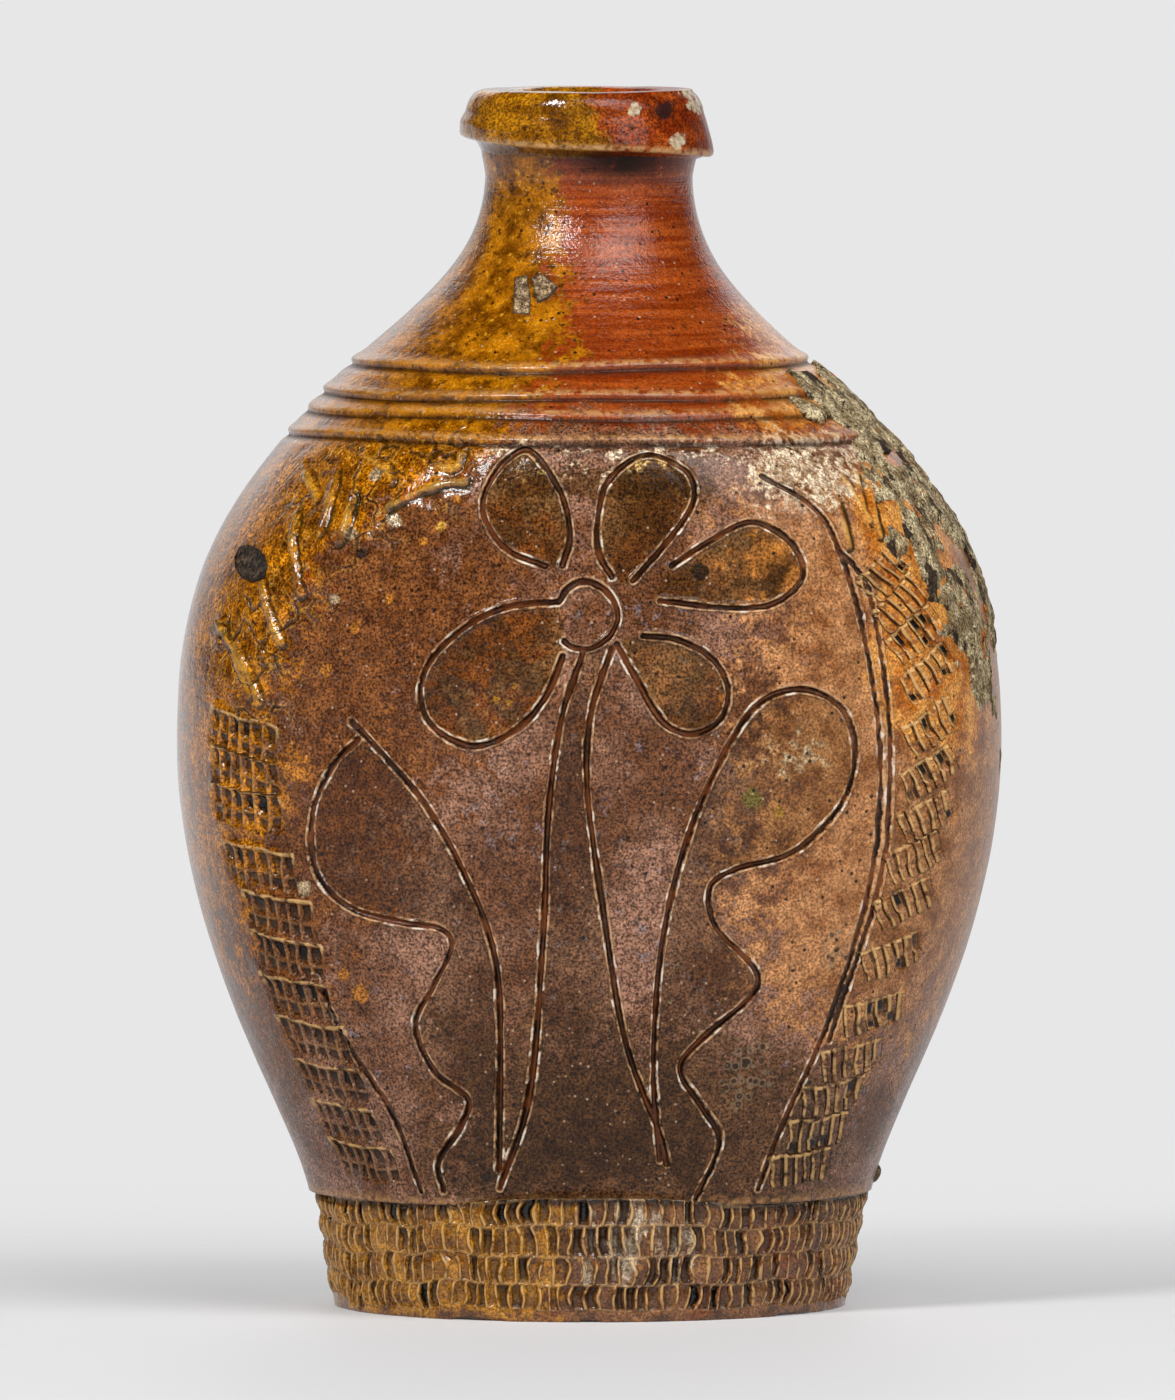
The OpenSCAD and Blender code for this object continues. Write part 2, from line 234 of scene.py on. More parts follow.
STEM_LEFT = [(-1, 104.5), (-4.2, 94.8), (-6.3, 80.4), (-7.2, 60.4), (-9.2, 36), (-13.9, 20.8)]
STEM_RIGHT = [(3.5, 105.3), (0.2, 95), (-0.3, 83), (1.9, 66.1), (5.5, 44.3), (10.7, 30), (11.9, 24.8)]
LEFT_LEAF_INNER = [(-36.8, 93.5), (-30.9, 87.4), (-24.8, 80), (-18.6, 68.5), (-14.8, 58), (-13.8, 47),
                   (-14, 23.8)]
LEFT_LEAF_OUTER = [(-35.8, 90.7), (-39.5, 86.8), (-42.8, 79), (-42.4, 70), (-37.1, 64.5), (-29, 62.4),
                   (-23.2, 61.6), (-21.3, 58.8), (-24, 52.8), (-26.9, 46.6), (-24.1, 39.3), (-18.9, 35),
                   (-19.8, 30.8), (-23.3, 25), (-22.6, 20.2)]
RIGHT_LEAF = [(10.9, 25.4), (9.9, 40), (11.2, 59), (15.6, 77), (22.4, 91.6), (27.6, 97.4), (34, 98.4),
              (39.4, 95), (41.1, 88), (38.6, 80.2), (31.6, 73.4), (22.6, 70.8), (18.6, 67.8), (19.6, 61.8),
              (25.6, 55.2), (25, 51), (17.4, 44.4), (14, 39.6), (17.6, 33.4), (20.1, 28), (16.4, 19)]
BORDER_LINES = [
    [(-42.7, 53.5), (-36.8, 42), (-30.4, 32), (-26.1, 20)],
    [(26.7, 131.5), (34.6, 126.6), (38.6, 120), (42.8, 105.2), (45, 87), (43.6, 69), (37.7, 48.6), (29.6, 30),
     (26.1, 20.4)],
    [(38.3, 120.4), (43, 113.8), (45.9, 98), (46.5, 84), (44.9, 68), (37.1, 43.7)],
]
LEAF_LINES = [LEFT_LEAF_INNER, LEFT_LEAF_OUTER, RIGHT_LEAF]
LINES = PETALS + [FLOWER_EYE, STEM_LEFT, STEM_RIGHT] + LEAF_LINES + BORDER_LINES
# Closed outlines of the stem and the leaves, whose glaze is darker than the ground
LEAVES = [STEM_LEFT + STEM_RIGHT[::-1], LEFT_LEAF_OUTER + LEFT_LEAF_INNER[::-1], RIGHT_LEAF]
# Half the width of an incised line, its depth, and the burr beside it
LINE_HALF_W = 0.36
LINE_DEPTH = 0.6
BURR_AT = 0.64
BURR_W = 0.24
BURR_H = 0.34

# Strokes under the thick glaze of the shoulder: x and height of the points they pass through
TICKS = [
    [(-44.4, 132), (-42.4, 127.4)],
    [(-38.9, 131.6), (-41.6, 122.6)],
    [(-36.2, 129), (-38.8, 121.4)],
    [(-45.4, 125.4), (-45.9, 119), (-44.8, 113.2)],
    [(-51, 114.6), (-49.6, 109), (-47.8, 105.4)],
    [(-57.4, 108), (-54.6, 102), (-52.8, 97.2)],
    [(-55, 105), (-51.2, 96)],
    [(-31.2, 126.8), (-24.4, 130), (-19.4, 130.8)],
    [(-23.6, 133.6), (-20.8, 132.8), (-19.6, 135)],
    [(-34.4, 134.2), (-31.6, 132.6), (-30.4, 130.6)],
    [(39.4, 131), (41.5, 127.5), (43.6, 124.4)],
    [(41.4, 131.2), (42.6, 126)],
    [(43.6, 128.6), (45, 122)],
    [(38.6, 127), (40.2, 120.5)],
]
# Half the width of the bead of glaze on a stroke, its height, and the hollow beside it
BEAD_HALF_W = 0.5
BEAD_H = 0.55
HOLLOW_AT = 1.05
HOLLOW_DEPTH = 0.4

# Strokes of the coggle wheel down both sides of the front: x, height, slope in degrees, length
LEFT_STROKES = [
    (-54.5, 90.8, -12, 15.5), (-54.2, 85.1, -9, 15.5), (-53.9, 79.5, -7, 15.5), (-51.6, 70.2, -7, 15),
    (-48.6, 62.9, -8, 14), (-47.2, 56.4, -7, 14.5), (-45.5, 49.8, -6, 14.5), (-42.9, 43.2, -6, 14.5),
    (-40.3, 36.7, -6, 14.5), (-37.8, 30.4, -6, 14), (-34.9, 24.2, -6, 13.5),
]
RIGHT_STROKES = [
    (46.2, 116.4, 40, 11), (48.4, 111.7, 36, 11), (50.8, 106.7, 32, 11.5), (53, 100.6, 28, 12),
    (53.4, 92.4, 26, 11.5), (53.1, 85, 24, 11.5), (52.8, 78.2, 22, 11.5), (50.8, 72, 20, 11.5),
    (49.2, 64.8, 18, 12), (47.4, 56.4, 15, 12.5), (44.8, 47.6, 12, 13.5), (41.2, 40.2, 10, 13.2),
    (38.2, 34.4, 9, 13), (35.8, 29, 8, 13), (33.2, 23.4, 7, 12.6),
]
STROKE_H = 5.7
STROKE_ROWS = 2
STROKE_ROW_H = STROKE_H / STROKE_ROWS
# The upper row's share of a stroke's height
TALL_ROW = 0.62
# Marks along a stroke at the left and at the right, and how far apart they are
LEFT_MARKS = 6
RIGHT_MARKS = 6
LEFT_PITCH = 2.45
RIGHT_PITCH = 2.0
# Half the width of the walls between the marks, the cells' depth and the bricks' height
MARK_WALL = 0.5
MARK_DEPTH = 1.0
PILLOW_H = 0.42
# A distance that stands for nothing near
FAR = 9.0
# How far up the carved marks reach, and how far up the mesh is refined for them
ORNAMENT_TOP = 141.0
REFINED_TOP = 140.0
# How near to a line, and to a stroke or a spot, the mesh is refined each time
REFINE_REACHES = [(3.4, 2.6), (1.9, 1.6), (1.15, 1.0)]

# Turned rings of the shoulder: height and how far each stands out
RINGS = [(148.4, 0.6), (143.9, 0.5), (141.1, 0.35), (137.4, 0.45)]
# The heights between which the rings lie, where the wall has closer rows of faces
RING_BAND = (134.0, 151.0)

# Spots of glaze on the front: x, height, radius, colour
AMBER_SPOT = (0.44, 0.17, 0.02)
PALE_SPOT = (0.42, 0.33, 0.21)
YELLOW_SPOT = (0.46, 0.26, 0.04)
GREEN_SPOT = (0.20, 0.18, 0.04)
BLACK_SPOT = (0.014, 0.012, 0.013)
SPOTS = [
    (-41, 101.4, 1.5, AMBER_SPOT), (-46, 85.4, 1.9, AMBER_SPOT), (-47.4, 80.8, 1.7, AMBER_SPOT),
    (-36.4, 108, 0.9, AMBER_SPOT), (-25.6, 121.6, 0.9, AMBER_SPOT), (-38, 54, 1.2, AMBER_SPOT),
    (-35.4, 51, 1.6, AMBER_SPOT), (-31, 112.6, 0.8, AMBER_SPOT), (-44.2, 67.4, 1.5, PALE_SPOT),
    (-14.4, 97.2, 0.7, YELLOW_SPOT), (-12.4, 96.8, 0.6, YELLOW_SPOT), (-11.6, 99.4, 0.5, YELLOW_SPOT),
    (29.3, 79.6, 0.9, YELLOW_SPOT), (25.1, 81.6, 2.0, GREEN_SPOT), (12.5, 50.2, 0.5, PALE_SPOT),
    (16.9, 116.9, 1.7, BLACK_SPOT), (-15.9, 22.5, 1.0, BLACK_SPOT), (-37, 122.4, 1.2, PALE_SPOT),
    (-30.4, 124.6, 1.3, PALE_SPOT), (-35.2, 119.6, 1.0, BLACK_SPOT), (-34, 63, 0.9, AMBER_SPOT),
    (-33, 131.6, 1.4, PALE_SPOT), (-39.5, 112.4, 1.0, PALE_SPOT),
    (-20.6, 128.2, 0.9, AMBER_SPOT), (-23, 123.8, 0.8, YELLOW_SPOT),
]


def tree_of(points):
    tree = KDTree(len(points))
    for index, point in enumerate(points):
        tree.insert(point, index)
    tree.balance()
    return tree


def nearest(tree, points):
    """The distance from each point to the tree, and the number of the point found there."""
    found = [tree.find(point) for point in points]
    return np.array([f[2] for f in found]), np.array([f[1] for f in found])


def lines_on_front(lines, step=0.2):
    flat = [through(line, step) for line in lines]
    return np.vstack([on_front(line[:, 0], line[:, 1]) for line in flat])


def stroke_frames(strokes):
    """Each stroke's middle on the wall, its direction, the direction across it and its length."""
    frames = []
    for x, height, slope, length in strokes:
        turn = turn_at(x, height)
        middle = on_skin(turn, height)
        beside = on_skin(turn + 0.02, height) - middle
        above = on_skin(turn, height + 1.0) - middle
        beside /= np.linalg.norm(beside)
        above -= beside * (above @ beside)
        above /= np.linalg.norm(above)
        angle = math.radians(slope)
        along = math.cos(angle) * beside + math.sin(angle) * above
        across = math.cos(angle) * above - math.sin(angle) * beside
        frames.append((middle, along, across, length))
    return frames


LINE_POINTS = lines_on_front(LINES)
TICK_POINTS = lines_on_front(TICKS)
LINE_TREE, TICK_TREE = tree_of(LINE_POINTS), tree_of(TICK_POINTS)
LEFT_FRAMES, RIGHT_FRAMES = stroke_frames(LEFT_STROKES), stroke_frames(RIGHT_STROKES)


def stroke_points():
    """Points spread over all coggle strokes and spots, which the mesh is refined round."""
    points = []
    for middle, along, across, length in LEFT_FRAMES + RIGHT_FRAMES:
        for u in np.arange(-length / 2, length / 2 + 0.1, 1.2):
            for v in (-2.2, -0.8, 0.8, 2.2):
                points.append(middle + u * along + v * across)
    for x, height, _, _ in SPOTS:
        points.append(on_front(x, height))
    return np.array(points)


STROKE_TREE = tree_of(stroke_points())


def spun(profile, steps, closed=False):
    """A bmesh turned from a profile of radius and height."""
    bm = bmesh.new()
    verts = [bm.verts.new((radius, 0, height)) for radius, height in profile]
    edges = [bm.edges.new(pair) for pair in zip(verts, verts[1:])]
    if closed:
        edges.append(bm.edges.new((verts[-1], verts[0])))
    bmesh.ops.spin(
        bm, geom=verts + edges, cent=(0, 0, 0), axis=(0, 0, 1), dvec=(0, 0, 0),
        angle=2 * math.pi, steps=steps, use_merge=True, use_duplicate=False,
    )
    bmesh.ops.remove_doubles(bm, verts=bm.verts, dist=1e-4)
    bmesh.ops.recalc_face_normals(bm, faces=bm.faces)
    return bm


def coordinates(bm):
    return np.array([v.co for v in bm.verts])


def place(bm, points):
    for vert, point in zip(bm.verts, points):
        vert.co = point


def finished(bm, name, material, body, nodes, attributes=None):
    """Makes a piece of a bmesh: its material, the body it rides on and the solids it stands for."""
    bmesh.ops.scale(bm, vec=(MM, MM, MM), verts=bm.verts)
    mesh = bpy.data.meshes.new(name)
    bm.to_mesh(mesh)
    bm.free()
    mesh.shade_smooth()
    for key, values in (attributes or {}).items():
        if np.ndim(values) == 1:
            layer = mesh.attributes.new(key, "FLOAT", "POINT")
            layer.data.foreach_set("value", np.ascontiguousarray(values, np.float32))
        else:
            layer = mesh.attributes.new(key, "FLOAT_COLOR", "POINT")
            layer.data.foreach_set("color", np.ascontiguousarray(values, np.float32).ravel())
    piece = bpy.data.objects.new(name, mesh)
    bpy.context.scene.collection.objects.link(piece)
    mesh.materials.append(material)
    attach(piece, body)
    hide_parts(*nodes)
    return piece


def linear(red, green, blue):
    """A colour given in the usual 0 to 255, as a shader takes it."""
    parts = [c / 255 for c in (red, green, blue)]
    return tuple(c / 12.92 if c < 0.04045 else ((c + 0.055) / 1.055) ** 2.4 for c in parts) + (1.0,)


class Finish:
    """A material made node by node; each method returns the output to use next."""

    def __init__(self, name):
        self.material = bpy.data.materials.new(name)
        self.material.use_nodes = True
        self.nodes = self.material.node_tree.nodes
        self.links = self.material.node_tree.links
        self.shader = self.nodes["Principled BSDF"]
        self.place = self.add("ShaderNodeTexCoord").outputs["Object"]

    def put(self, socket, value):
        if isinstance(value, bpy.types.NodeSocket):
            self.links.new(value, socket)
        else:
            socket.default_value = value

    def add(self, kind, values=None, **settings):
        node = self.nodes.new(kind)
        for key, value in settings.items():
            setattr(node, key, value)
        for key, value in (values or {}).items():
            self.put(node.inputs[key], value)
        return node

    def math(self, operation, a, b=0.0):
        return self.add("ShaderNodeMath", {0: a, 1: b}, operation=operation).outputs[0]

    def plus(self, a, b):
        return self.math("ADD", a, b)

    def minus(self, a, b):
        return self.math("SUBTRACT", a, b)

    def larger(self, a, b):
        return self.math("MAXIMUM", a, b)

    def product(self, first, *others):
        for other in others:
            first = self.math("MULTIPLY", first, other)
        return first

    def rest(self, share):
        """What a share leaves of 1."""
        return self.minus(1.0, share)

    def stretched(self, stretch):
        return self.add("ShaderNodeMapping", {"Vector": self.place, "Scale": stretch}).outputs[0]

    def noise(self, size, detail=3.0, rough=0.55, stretch=None, shift=0.0):
        """Cloudy values about 0.5, in patches about size across."""
        vector = self.stretched(stretch) if stretch else self.place
        values = {"Vector": vector, "W": shift, "Detail": detail, "Roughness": rough}
        values["Scale"] = 1 / (size * MM)
        return self.add("ShaderNodeTexNoise", values, noise_dimensions="4D").outputs[0]

    def cells(self, size):
        """How far each place is from the middle of its cell, in cells about size across."""
        values = {"Vector": self.place, "Scale": 1 / (size * MM)}
        return self.add("ShaderNodeTexVoronoi", values, feature="F1").outputs["Distance"]

    def dots(self, size, share, soft=0.3):
        """Round dots, about one to each size, that take a share of it."""
        return self.between(self.cells(size), share, share * (1 - soft))

    def weight(self, name):
        return self.add("ShaderNodeAttribute", attribute_name=name).outputs["Fac"]

    def colour(self, name):
        return self.add("ShaderNodeAttribute", attribute_name=name).outputs["Color"]

    def alpha(self, name):
        return self.add("ShaderNodeAttribute", attribute_name=name).outputs["Alpha"]

    def between(self, value, low, high):
        """0 where value is at low, 1 where it is at high, with a smooth step."""
        values = {"Value": value, "From Min": low, "From Max": high}
        return self.add("ShaderNodeMapRange", values, interpolation_type="SMOOTHSTEP").outputs[0]

    def mix(self, a, b, share):
        node = self.add("ShaderNodeMix", {0: share, 6: a, 7: b}, data_type="RGBA")
        return node.outputs[2]

    def multiply(self, a, b, share=1.0):
        node = self.add("ShaderNodeMix", {0: share, 6: a, 7: b}, data_type="RGBA", blend_type="MULTIPLY")
        return node.outputs[2]

    def ragged(self, weight, cloud, reach=4.0):
        """A weight from an attribute, with its edge broken up by a cloud."""
        room = self.product(weight, self.rest(weight), 4 * reach)
        broken = self.product(self.minus(cloud, 0.5), room)
        return self.between(self.plus(weight, broken), 0.3, 0.7)

    def clouds(self, broad, fine):
        """Broad patches with fine grain among them, which break up the edges between glazes."""
        return self.plus(self.product(broad, 0.55), self.product(fine, 0.45))

    def near(self, value, middle, reach):
        """1 where value is at middle, falling to 0 at reach from it."""
        gap = self.math("ABSOLUTE", self.minus(value, middle))
        return self.between(gap, reach, reach * 0.35)

    def bump(self, height, depth, under=None):
        values = {"Height": height, "Strength": 1.0, "Distance": self.product(depth, MM)}
        if under is not None:
            values["Normal"] = under
        return self.add("ShaderNodeBump", values).outputs[0]

    def done(self, colour, roughness, normal=None, coat=0.0, coat_roughness=0.1, specular=0.5):
        self.put(self.shader.inputs["Base Color"], colour)
        self.put(self.shader.inputs["Roughness"], roughness)
        if normal is not None:
            self.put(self.shader.inputs["Normal"], normal)
            self.put(self.shader.inputs["Coat Normal"], normal)
        self.put(self.shader.inputs["Coat Weight"], coat)
        self.shader.inputs["Specular IOR Level"].default_value = specular
        self.shader.inputs["Coat Roughness"].default_value = coat_roughness
        return self.material


def grainy(f, colour, fine_size=0.4, coarse_size=1.3, strength=1.0):
    """Breaks a glaze up into the light and dark grain of the clay under it."""
    fine = f.between(f.noise(fine_size, 2, 0.65, shift=1.0), 0.36, 0.64)
    coarse = f.between(f.noise(coarse_size, 3, 0.6, shift=2.0), 0.34, 0.66)
    colour = f.multiply(colour, f.mix((0.28, 0.23, 0.19, 1), (1.7, 1.68, 1.6, 1), fine), strength)
    return f.multiply(colour, f.mix((0.72, 0.68, 0.64, 1), (1.27, 1.25, 1.22, 1), coarse), strength)


def coggle_marks(f, colour, pitch, row_h, wall_w, level, fall, pale_from, darkest, bright):
    """Draws the coggle wheel's marks: cells with painted shadow under their upper edge, or bricks with
    painted shade in their seams, with black painted shade in deep holes and painted highlight on crests and
    edges.
    """
    along, down, within, luck = (f.weight(name) for name in ("along", "down", "within", "luck"))
    bricks = f.weight("pillow")
    cells = f.rest(bricks)
    in_brick, in_row = f.math("FRACT", along), f.math("FRACT", down)
    to_side = f.product(f.math("PINGPONG", along, 0.5), pitch)
    to_row = f.product(f.math("PINGPONG", down, 0.5), row_h)
    uneven = f.product(f.noise(1.9, 2, shift=6.0), 2 * wall_w)
    wide, narrow = f.plus(uneven, 0.12), f.minus(uneven, 0.12)
    side = f.between(to_side, wide, narrow)
    shelf = f.product(f.between(to_row, wide, narrow), level)
    inside_marks = f.between(within, -0.1, 0.25)
    cell = f.product(f.rest(f.larger(side, shelf)), inside_marks)
    # Painted shadow: darkest under each cell's upper edge, fading down the row by fall
    lit = f.rest(f.product(f.between(in_row, 0.2, 1.1), fall))
    sunk = f.product(cell, lit, f.between(luck, pale_from, darkest))
    # Painted shade in the seams between the bricks, broken up in patches
    row_seam = f.product(f.between(to_row, 0.42, 0.14), 0.35)
    seam = f.larger(f.between(to_side, 0.36, 0.12), row_seam)
    seam = f.product(seam, inside_marks, f.between(f.noise(2.2, 2, shift=4.0), 0.3, 0.5))
    shade = f.plus(f.product(sunk, cells), f.product(seam, bricks))
    # Black painted shade in the deepest holes
    hole = f.product(cell, f.between(luck, 0.84, 0.88), f.between(in_row, 0.95, 0.6))
    # Painted highlight on the walls' crests, on the rim over each stroke at the left and on the bricks' upper
    # and left edges
    top_edge = f.larger(f.near(down, 0.14, 0.12), f.near(in_brick, 0.2, 0.13))
    thin_row = f.product(f.between(to_row, 0.3, 0.1), level)
    thin = f.larger(f.between(to_side, 0.34, 0.12), thin_row)
    crest = f.plus(f.product(thin, cells, bright), f.product(top_edge, bricks))
    crest = f.product(crest, inside_marks)
    ridge = f.product(f.near(within, 0.0, 0.5), f.between(down, 0.6, 0.1), cells)
    crest = f.larger(crest, ridge)
    # The painted highlight is broken up in patches
    worn = f.product(crest, f.between(f.noise(1.2, 2, shift=7.0), 0.34, 0.56))
    # Lay on the painted shade, then black painted shade in the holes, then the painted highlight
    colour = f.mix(colour, linear(30, 16, 5), f.product(shade, 0.92))
    colour = f.mix(colour, linear(9, 7, 6), hole)
    colour = f.mix(colour, linear(228, 182, 118), f.product(worn, 0.8))
    return colour, f.minus(crest, shade)


def body_glaze():
    """Salt glaze over brown clay: amber at the left, red on the neck, tan at the right."""
    f = Finish("body_glaze")
    broad, patch, fine = f.noise(14, 3), f.noise(4.5, 4, 0.6), f.noise(1.3, 3, 0.6)
    turned = f.noise(1.0, 3, 0.6, stretch=(0.05, 0.05, 1.0))
    edge = f.clouds(patch, fine)
    patches = f.between(patch, 0.36, 0.64)
    in_red = f.ragged(f.weight("red"), edge, 2.5)

    # Ground of the front: brown with a purple cast, with blue-grey flecks
    ground = f.mix(linear(98, 61, 36), linear(142, 105, 87), f.between(broad, 0.38, 0.62))
    flecks = f.product(f.between(f.noise(1.5, 3, 0.6, shift=5.0), 0.56, 0.66), f.between(patch, 0.44, 0.58))
    ground = f.mix(ground, linear(122, 114, 124), f.product(flecks, 0.7))
    umber = f.mix(linear(88, 48, 17), linear(124, 76, 38), patches)
    dusk = f.mix(linear(72, 46, 26), linear(102, 70, 44), patches)
    tan = f.mix(linear(136, 86, 46), linear(184, 132, 88), patches)
    orange = f.mix(linear(174, 94, 16), linear(228, 164, 84), patches)
    ash = f.mix(linear(166, 136, 106), linear(222, 204, 180), f.between(fine, 0.4, 0.6))

    # Amber: olive and yellow-brown runs with dark curds
    amber = f.mix(linear(112, 62, 0), linear(188, 118, 6), patches)
    amber = f.mix(amber, linear(58, 30, 0), f.product(f.between(fine, 0.54, 0.66), 0.8))
    amber = f.mix(amber, linear(220, 158, 40), f.product(f.between(fine, 0.44, 0.32), 0.7))

    # Red-brown of the neck, in turned lines
    red = f.mix(linear(126, 45, 4), linear(166, 77, 24), f.between(turned, 0.36, 0.64))
    red = f.mix(red, linear(84, 34, 8), f.product(f.between(fine, 0.58, 0.68), 0.6))

    # The glazes over the ground, with their zones and how far their edges break up
    layers = (
        (umber, "umber", 2.5), (tan, "tan", 4.0), (dusk, "dusk", 4.0), (red, "red", 2.5),
        (orange, "orange", 2.5), (amber, "amber", 4.0), (ash, "ash", 4.0),
    )
    colour = ground
    for glaze, zone, reach in layers:
        colour = f.mix(colour, glaze, f.ragged(f.weight(zone), edge, reach))

    # Bubbles along the amber's edge, pale in an orange ring
    bubbles = f.cells(3.4)
    froth = f.weight("froth")
    colour = f.mix(colour, linear(160, 78, 6), f.product(froth, f.between(bubbles, 0.46, 0.36), 0.7))
    colour = f.mix(colour, linear(206, 168, 104), f.product(froth, f.between(bubbles, 0.3, 0.2), 0.55))
    # Wrinkles of the thick glaze round the strokes of the shoulder
    fold = f.math("ABSOLUTE", f.minus(f.noise(6.0, 2, 0.35, shift=15.0), 0.5))
    wrinkle = f.product(f.between(fold, 0.02, 0.006), f.weight("wrinkles"))
    wrinkle = f.product(wrinkle, f.between(broad, 0.46, 0.56))
    colour = f.mix(colour, linear(44, 34, 2), f.product(wrinkle, 0.7))
    fold_lip = f.product(f.near(fold, 0.036, 0.014), f.weight("wrinkles"), 0.3)
    colour = f.mix(colour, linear(206, 156, 60), fold_lip)
    colour = f.mix(colour, f.colour("spots"), f.product(f.ragged(f.alpha("spots"), edge, 2.5), 0.85))

    # Inside the petals, the stem and the leaves the glaze lies darker
    colour = f.multiply(colour, (0.64, 0.6, 0.48, 1), f.weight("fill"))
    colour = f.multiply(colour, f.mix((0.5, 0.5, 0.26, 1), (0.86, 0.7, 0.32, 1), patches), f.weight("petal"))
    # The grain of the clay shows less under the red and the tan
    smooth = f.larger(f.product(in_red, 0.6), f.product(f.weight("tan"), 0.4))
    colour = f.mix(grainy(f, colour), f.multiply(colour, (0.92, 0.9, 0.88, 1)), smooth)
    # Dark specks and pale pinheads
    specks = f.product(f.dots(2.1, 0.17), f.between(patch, 0.4, 0.54))
    colour = f.mix(colour, linear(20, 12, 8), f.product(specks, 0.9))
    pins = f.product(f.dots(1.5, 0.17), f.between(f.noise(2.2, 2, shift=17.0), 0.5, 0.58))
    colour = f.mix(colour, linear(206, 176, 146), f.product(pins, 0.55))

    # Scurf: clusters of small dark blisters with pale rims
    blisters = f.cells(1.5)
    scurf = f.ragged(f.weight("scurf"), patch, 3)
    colour = f.mix(colour, linear(140, 126, 100), f.product(scurf, f.near(blisters, 0.42, 0.12), 0.4))
    colour = f.mix(colour, linear(36, 28, 16), f.product(scurf, f.between(blisters, 0.34, 0.24), 0.8))

    # Beads of glaze on the strokes of the shoulder, pale with painted highlight, with painted shade in the
    # hollow at their right
    to_tick = f.plus(f.weight("tick_gap"), f.product(f.minus(fine, 0.5), 0.6))
    bead = f.between(to_tick, 0.7, 0.3)
    hollow = f.product(f.near(to_tick, HOLLOW_AT, 0.5), f.weight("tick_side"))
    colour = f.mix(colour, linear(206, 160, 66), f.product(bead, f.between(patch, 0.36, 0.6), 0.5))
    colour = f.mix(colour, linear(40, 30, 2), f.product(hollow, 0.85))

    # Incised lines: red-brown bottoms with black painted shade here and there along their walls, between
    # pale, broken burrs that carry painted highlight and painted glints
    wobble = f.product(f.minus(f.noise(1.3, 2, shift=8.0), 0.5), 0.4)
    to_line = f.plus(f.weight("line_gap"), wobble)
    groove = f.between(to_line, 0.46, 0.32)
    burr = f.near(to_line, BURR_AT, 0.27)
    bottom = f.mix(linear(52, 27, 12), linear(124, 64, 29), f.between(f.noise(7, 3, shift=4.0), 0.4, 0.58))
    colour = f.mix(colour, bottom, f.product(groove, 0.8))
    # Black painted shade along the grooves' walls
    black = f.product(f.near(to_line, 0.34, 0.2), f.between(f.noise(4, 3, shift=12.0), 0.4, 0.54))
    colour = f.mix(colour, linear(16, 10, 7), f.product(black, 0.9))
    # Pale painted highlight on the burrs, broken up in patches
    worn = f.product(burr, f.between(f.noise(1.5, 3, 0.65, shift=9.0), 0.4, 0.6))
    worn = f.product(worn, f.between(f.noise(6, 2, shift=3.0), 0.26, 0.6))
    colour = f.mix(colour, linear(220, 174, 128), f.product(worn, 0.75))
    # Painted white glints on the burrs
    glints = f.product(burr, f.between(f.noise(2.4, 3, shift=14.0), 0.54, 0.64))
    colour = f.mix(colour, linear(246, 228, 206), f.product(glints, 0.8))

    # Painted shade in the rings' grooves and under the collar, and painted highlight on the rings' ridges and
    # on the wall's lower edge over the foot
    colour = f.mix(colour, linear(34, 17, 7), f.product(f.weight("shade"), f.between(patch, 0.2, 0.5)))
    colour = f.mix(colour, linear(212, 160, 100), f.product(f.weight("crest"), f.between(fine, 0.36, 0.62)))
    colour, marks = coggle_marks(
        f, colour, pitch=LEFT_PITCH, row_h=STROKE_ROW_H, wall_w=0.52, level=0.6, fall=0.7,
        pale_from=-0.5, darkest=0.4, bright=0.25,
    )

    roughness = f.plus(0.36, f.product(patches, 0.16))
    peel = f.bump(f.noise(1.7, 2, 0.5), 0.13)
    peel = f.bump(f.noise(0.55, 2, 0.6), f.plus(0.08, f.product(f.weight("red"), 0.05)), peel)
    peel = f.bump(turned, f.plus(0.05, f.product(f.weight("red"), 0.09)), peel)
    for height, depth in ((f.minus(burr, groove), 0.16), (marks, 0.22), (wrinkle, -0.3)):
        peel = f.bump(height, depth, peel)
    shine = f.larger(f.weight("amber"), f.product(f.weight("red"), 0.9))
    shine = f.larger(shine, f.weight("wrinkles"))
    coat = f.plus(0.42, f.product(shine, 0.48))
    coat = f.product(coat, f.rest(f.product(f.weight("shade"), 0.8)))
    return f.done(colour, roughness, peel, coat=coat, coat_roughness=0.09, specular=0.05)


def wall_profile():
    """Outside, rim and hollow of the body, from the middle of its base round to the middle of its floor."""
    heights = np.concatenate([
        [FOOT_H, FOOT_H + 0.4, FOOT_H + 0.9],
        np.arange(FOOT_H + 2.0, RING_BAND[0], 2.25),
        np.arange(*RING_BAND, 0.34),
        np.arange(RING_BAND[1], COLLAR_Z + 5.5, 1.5),
    ])
    outside = [(round_r(z), z) for z in heights]
    top = heights[-1]
    hollow = [(BORE_R, top), (BORE_R, THROAT_Z)]
    hollow += [(round_r(z) - WALL, z) for z in np.linspace(THROAT_Z - 5, BELLY_Z, 14)]
    hollow += [tuple(p) for p in cubic(
        (HOLLOW_FLOOR_R, FLOOR_Z), (HOLLOW_FLOOR_R + 8, FLOOR_Z + 1),
        (BELLY_R - WALL, BELLY_Z - 40), (BELLY_R - WALL, BELLY_Z), 10,
    )[-2::-1]]
    base = [(0, ARCH_H), (CORE_R / 2, ARCH_H), (CORE_R - 3.6, 0), (CORE_R - 0.1, 0), (CORE_R - 0.1, FOOT_H)]
    return base + outside + hollow + [(0, FLOOR_Z)]


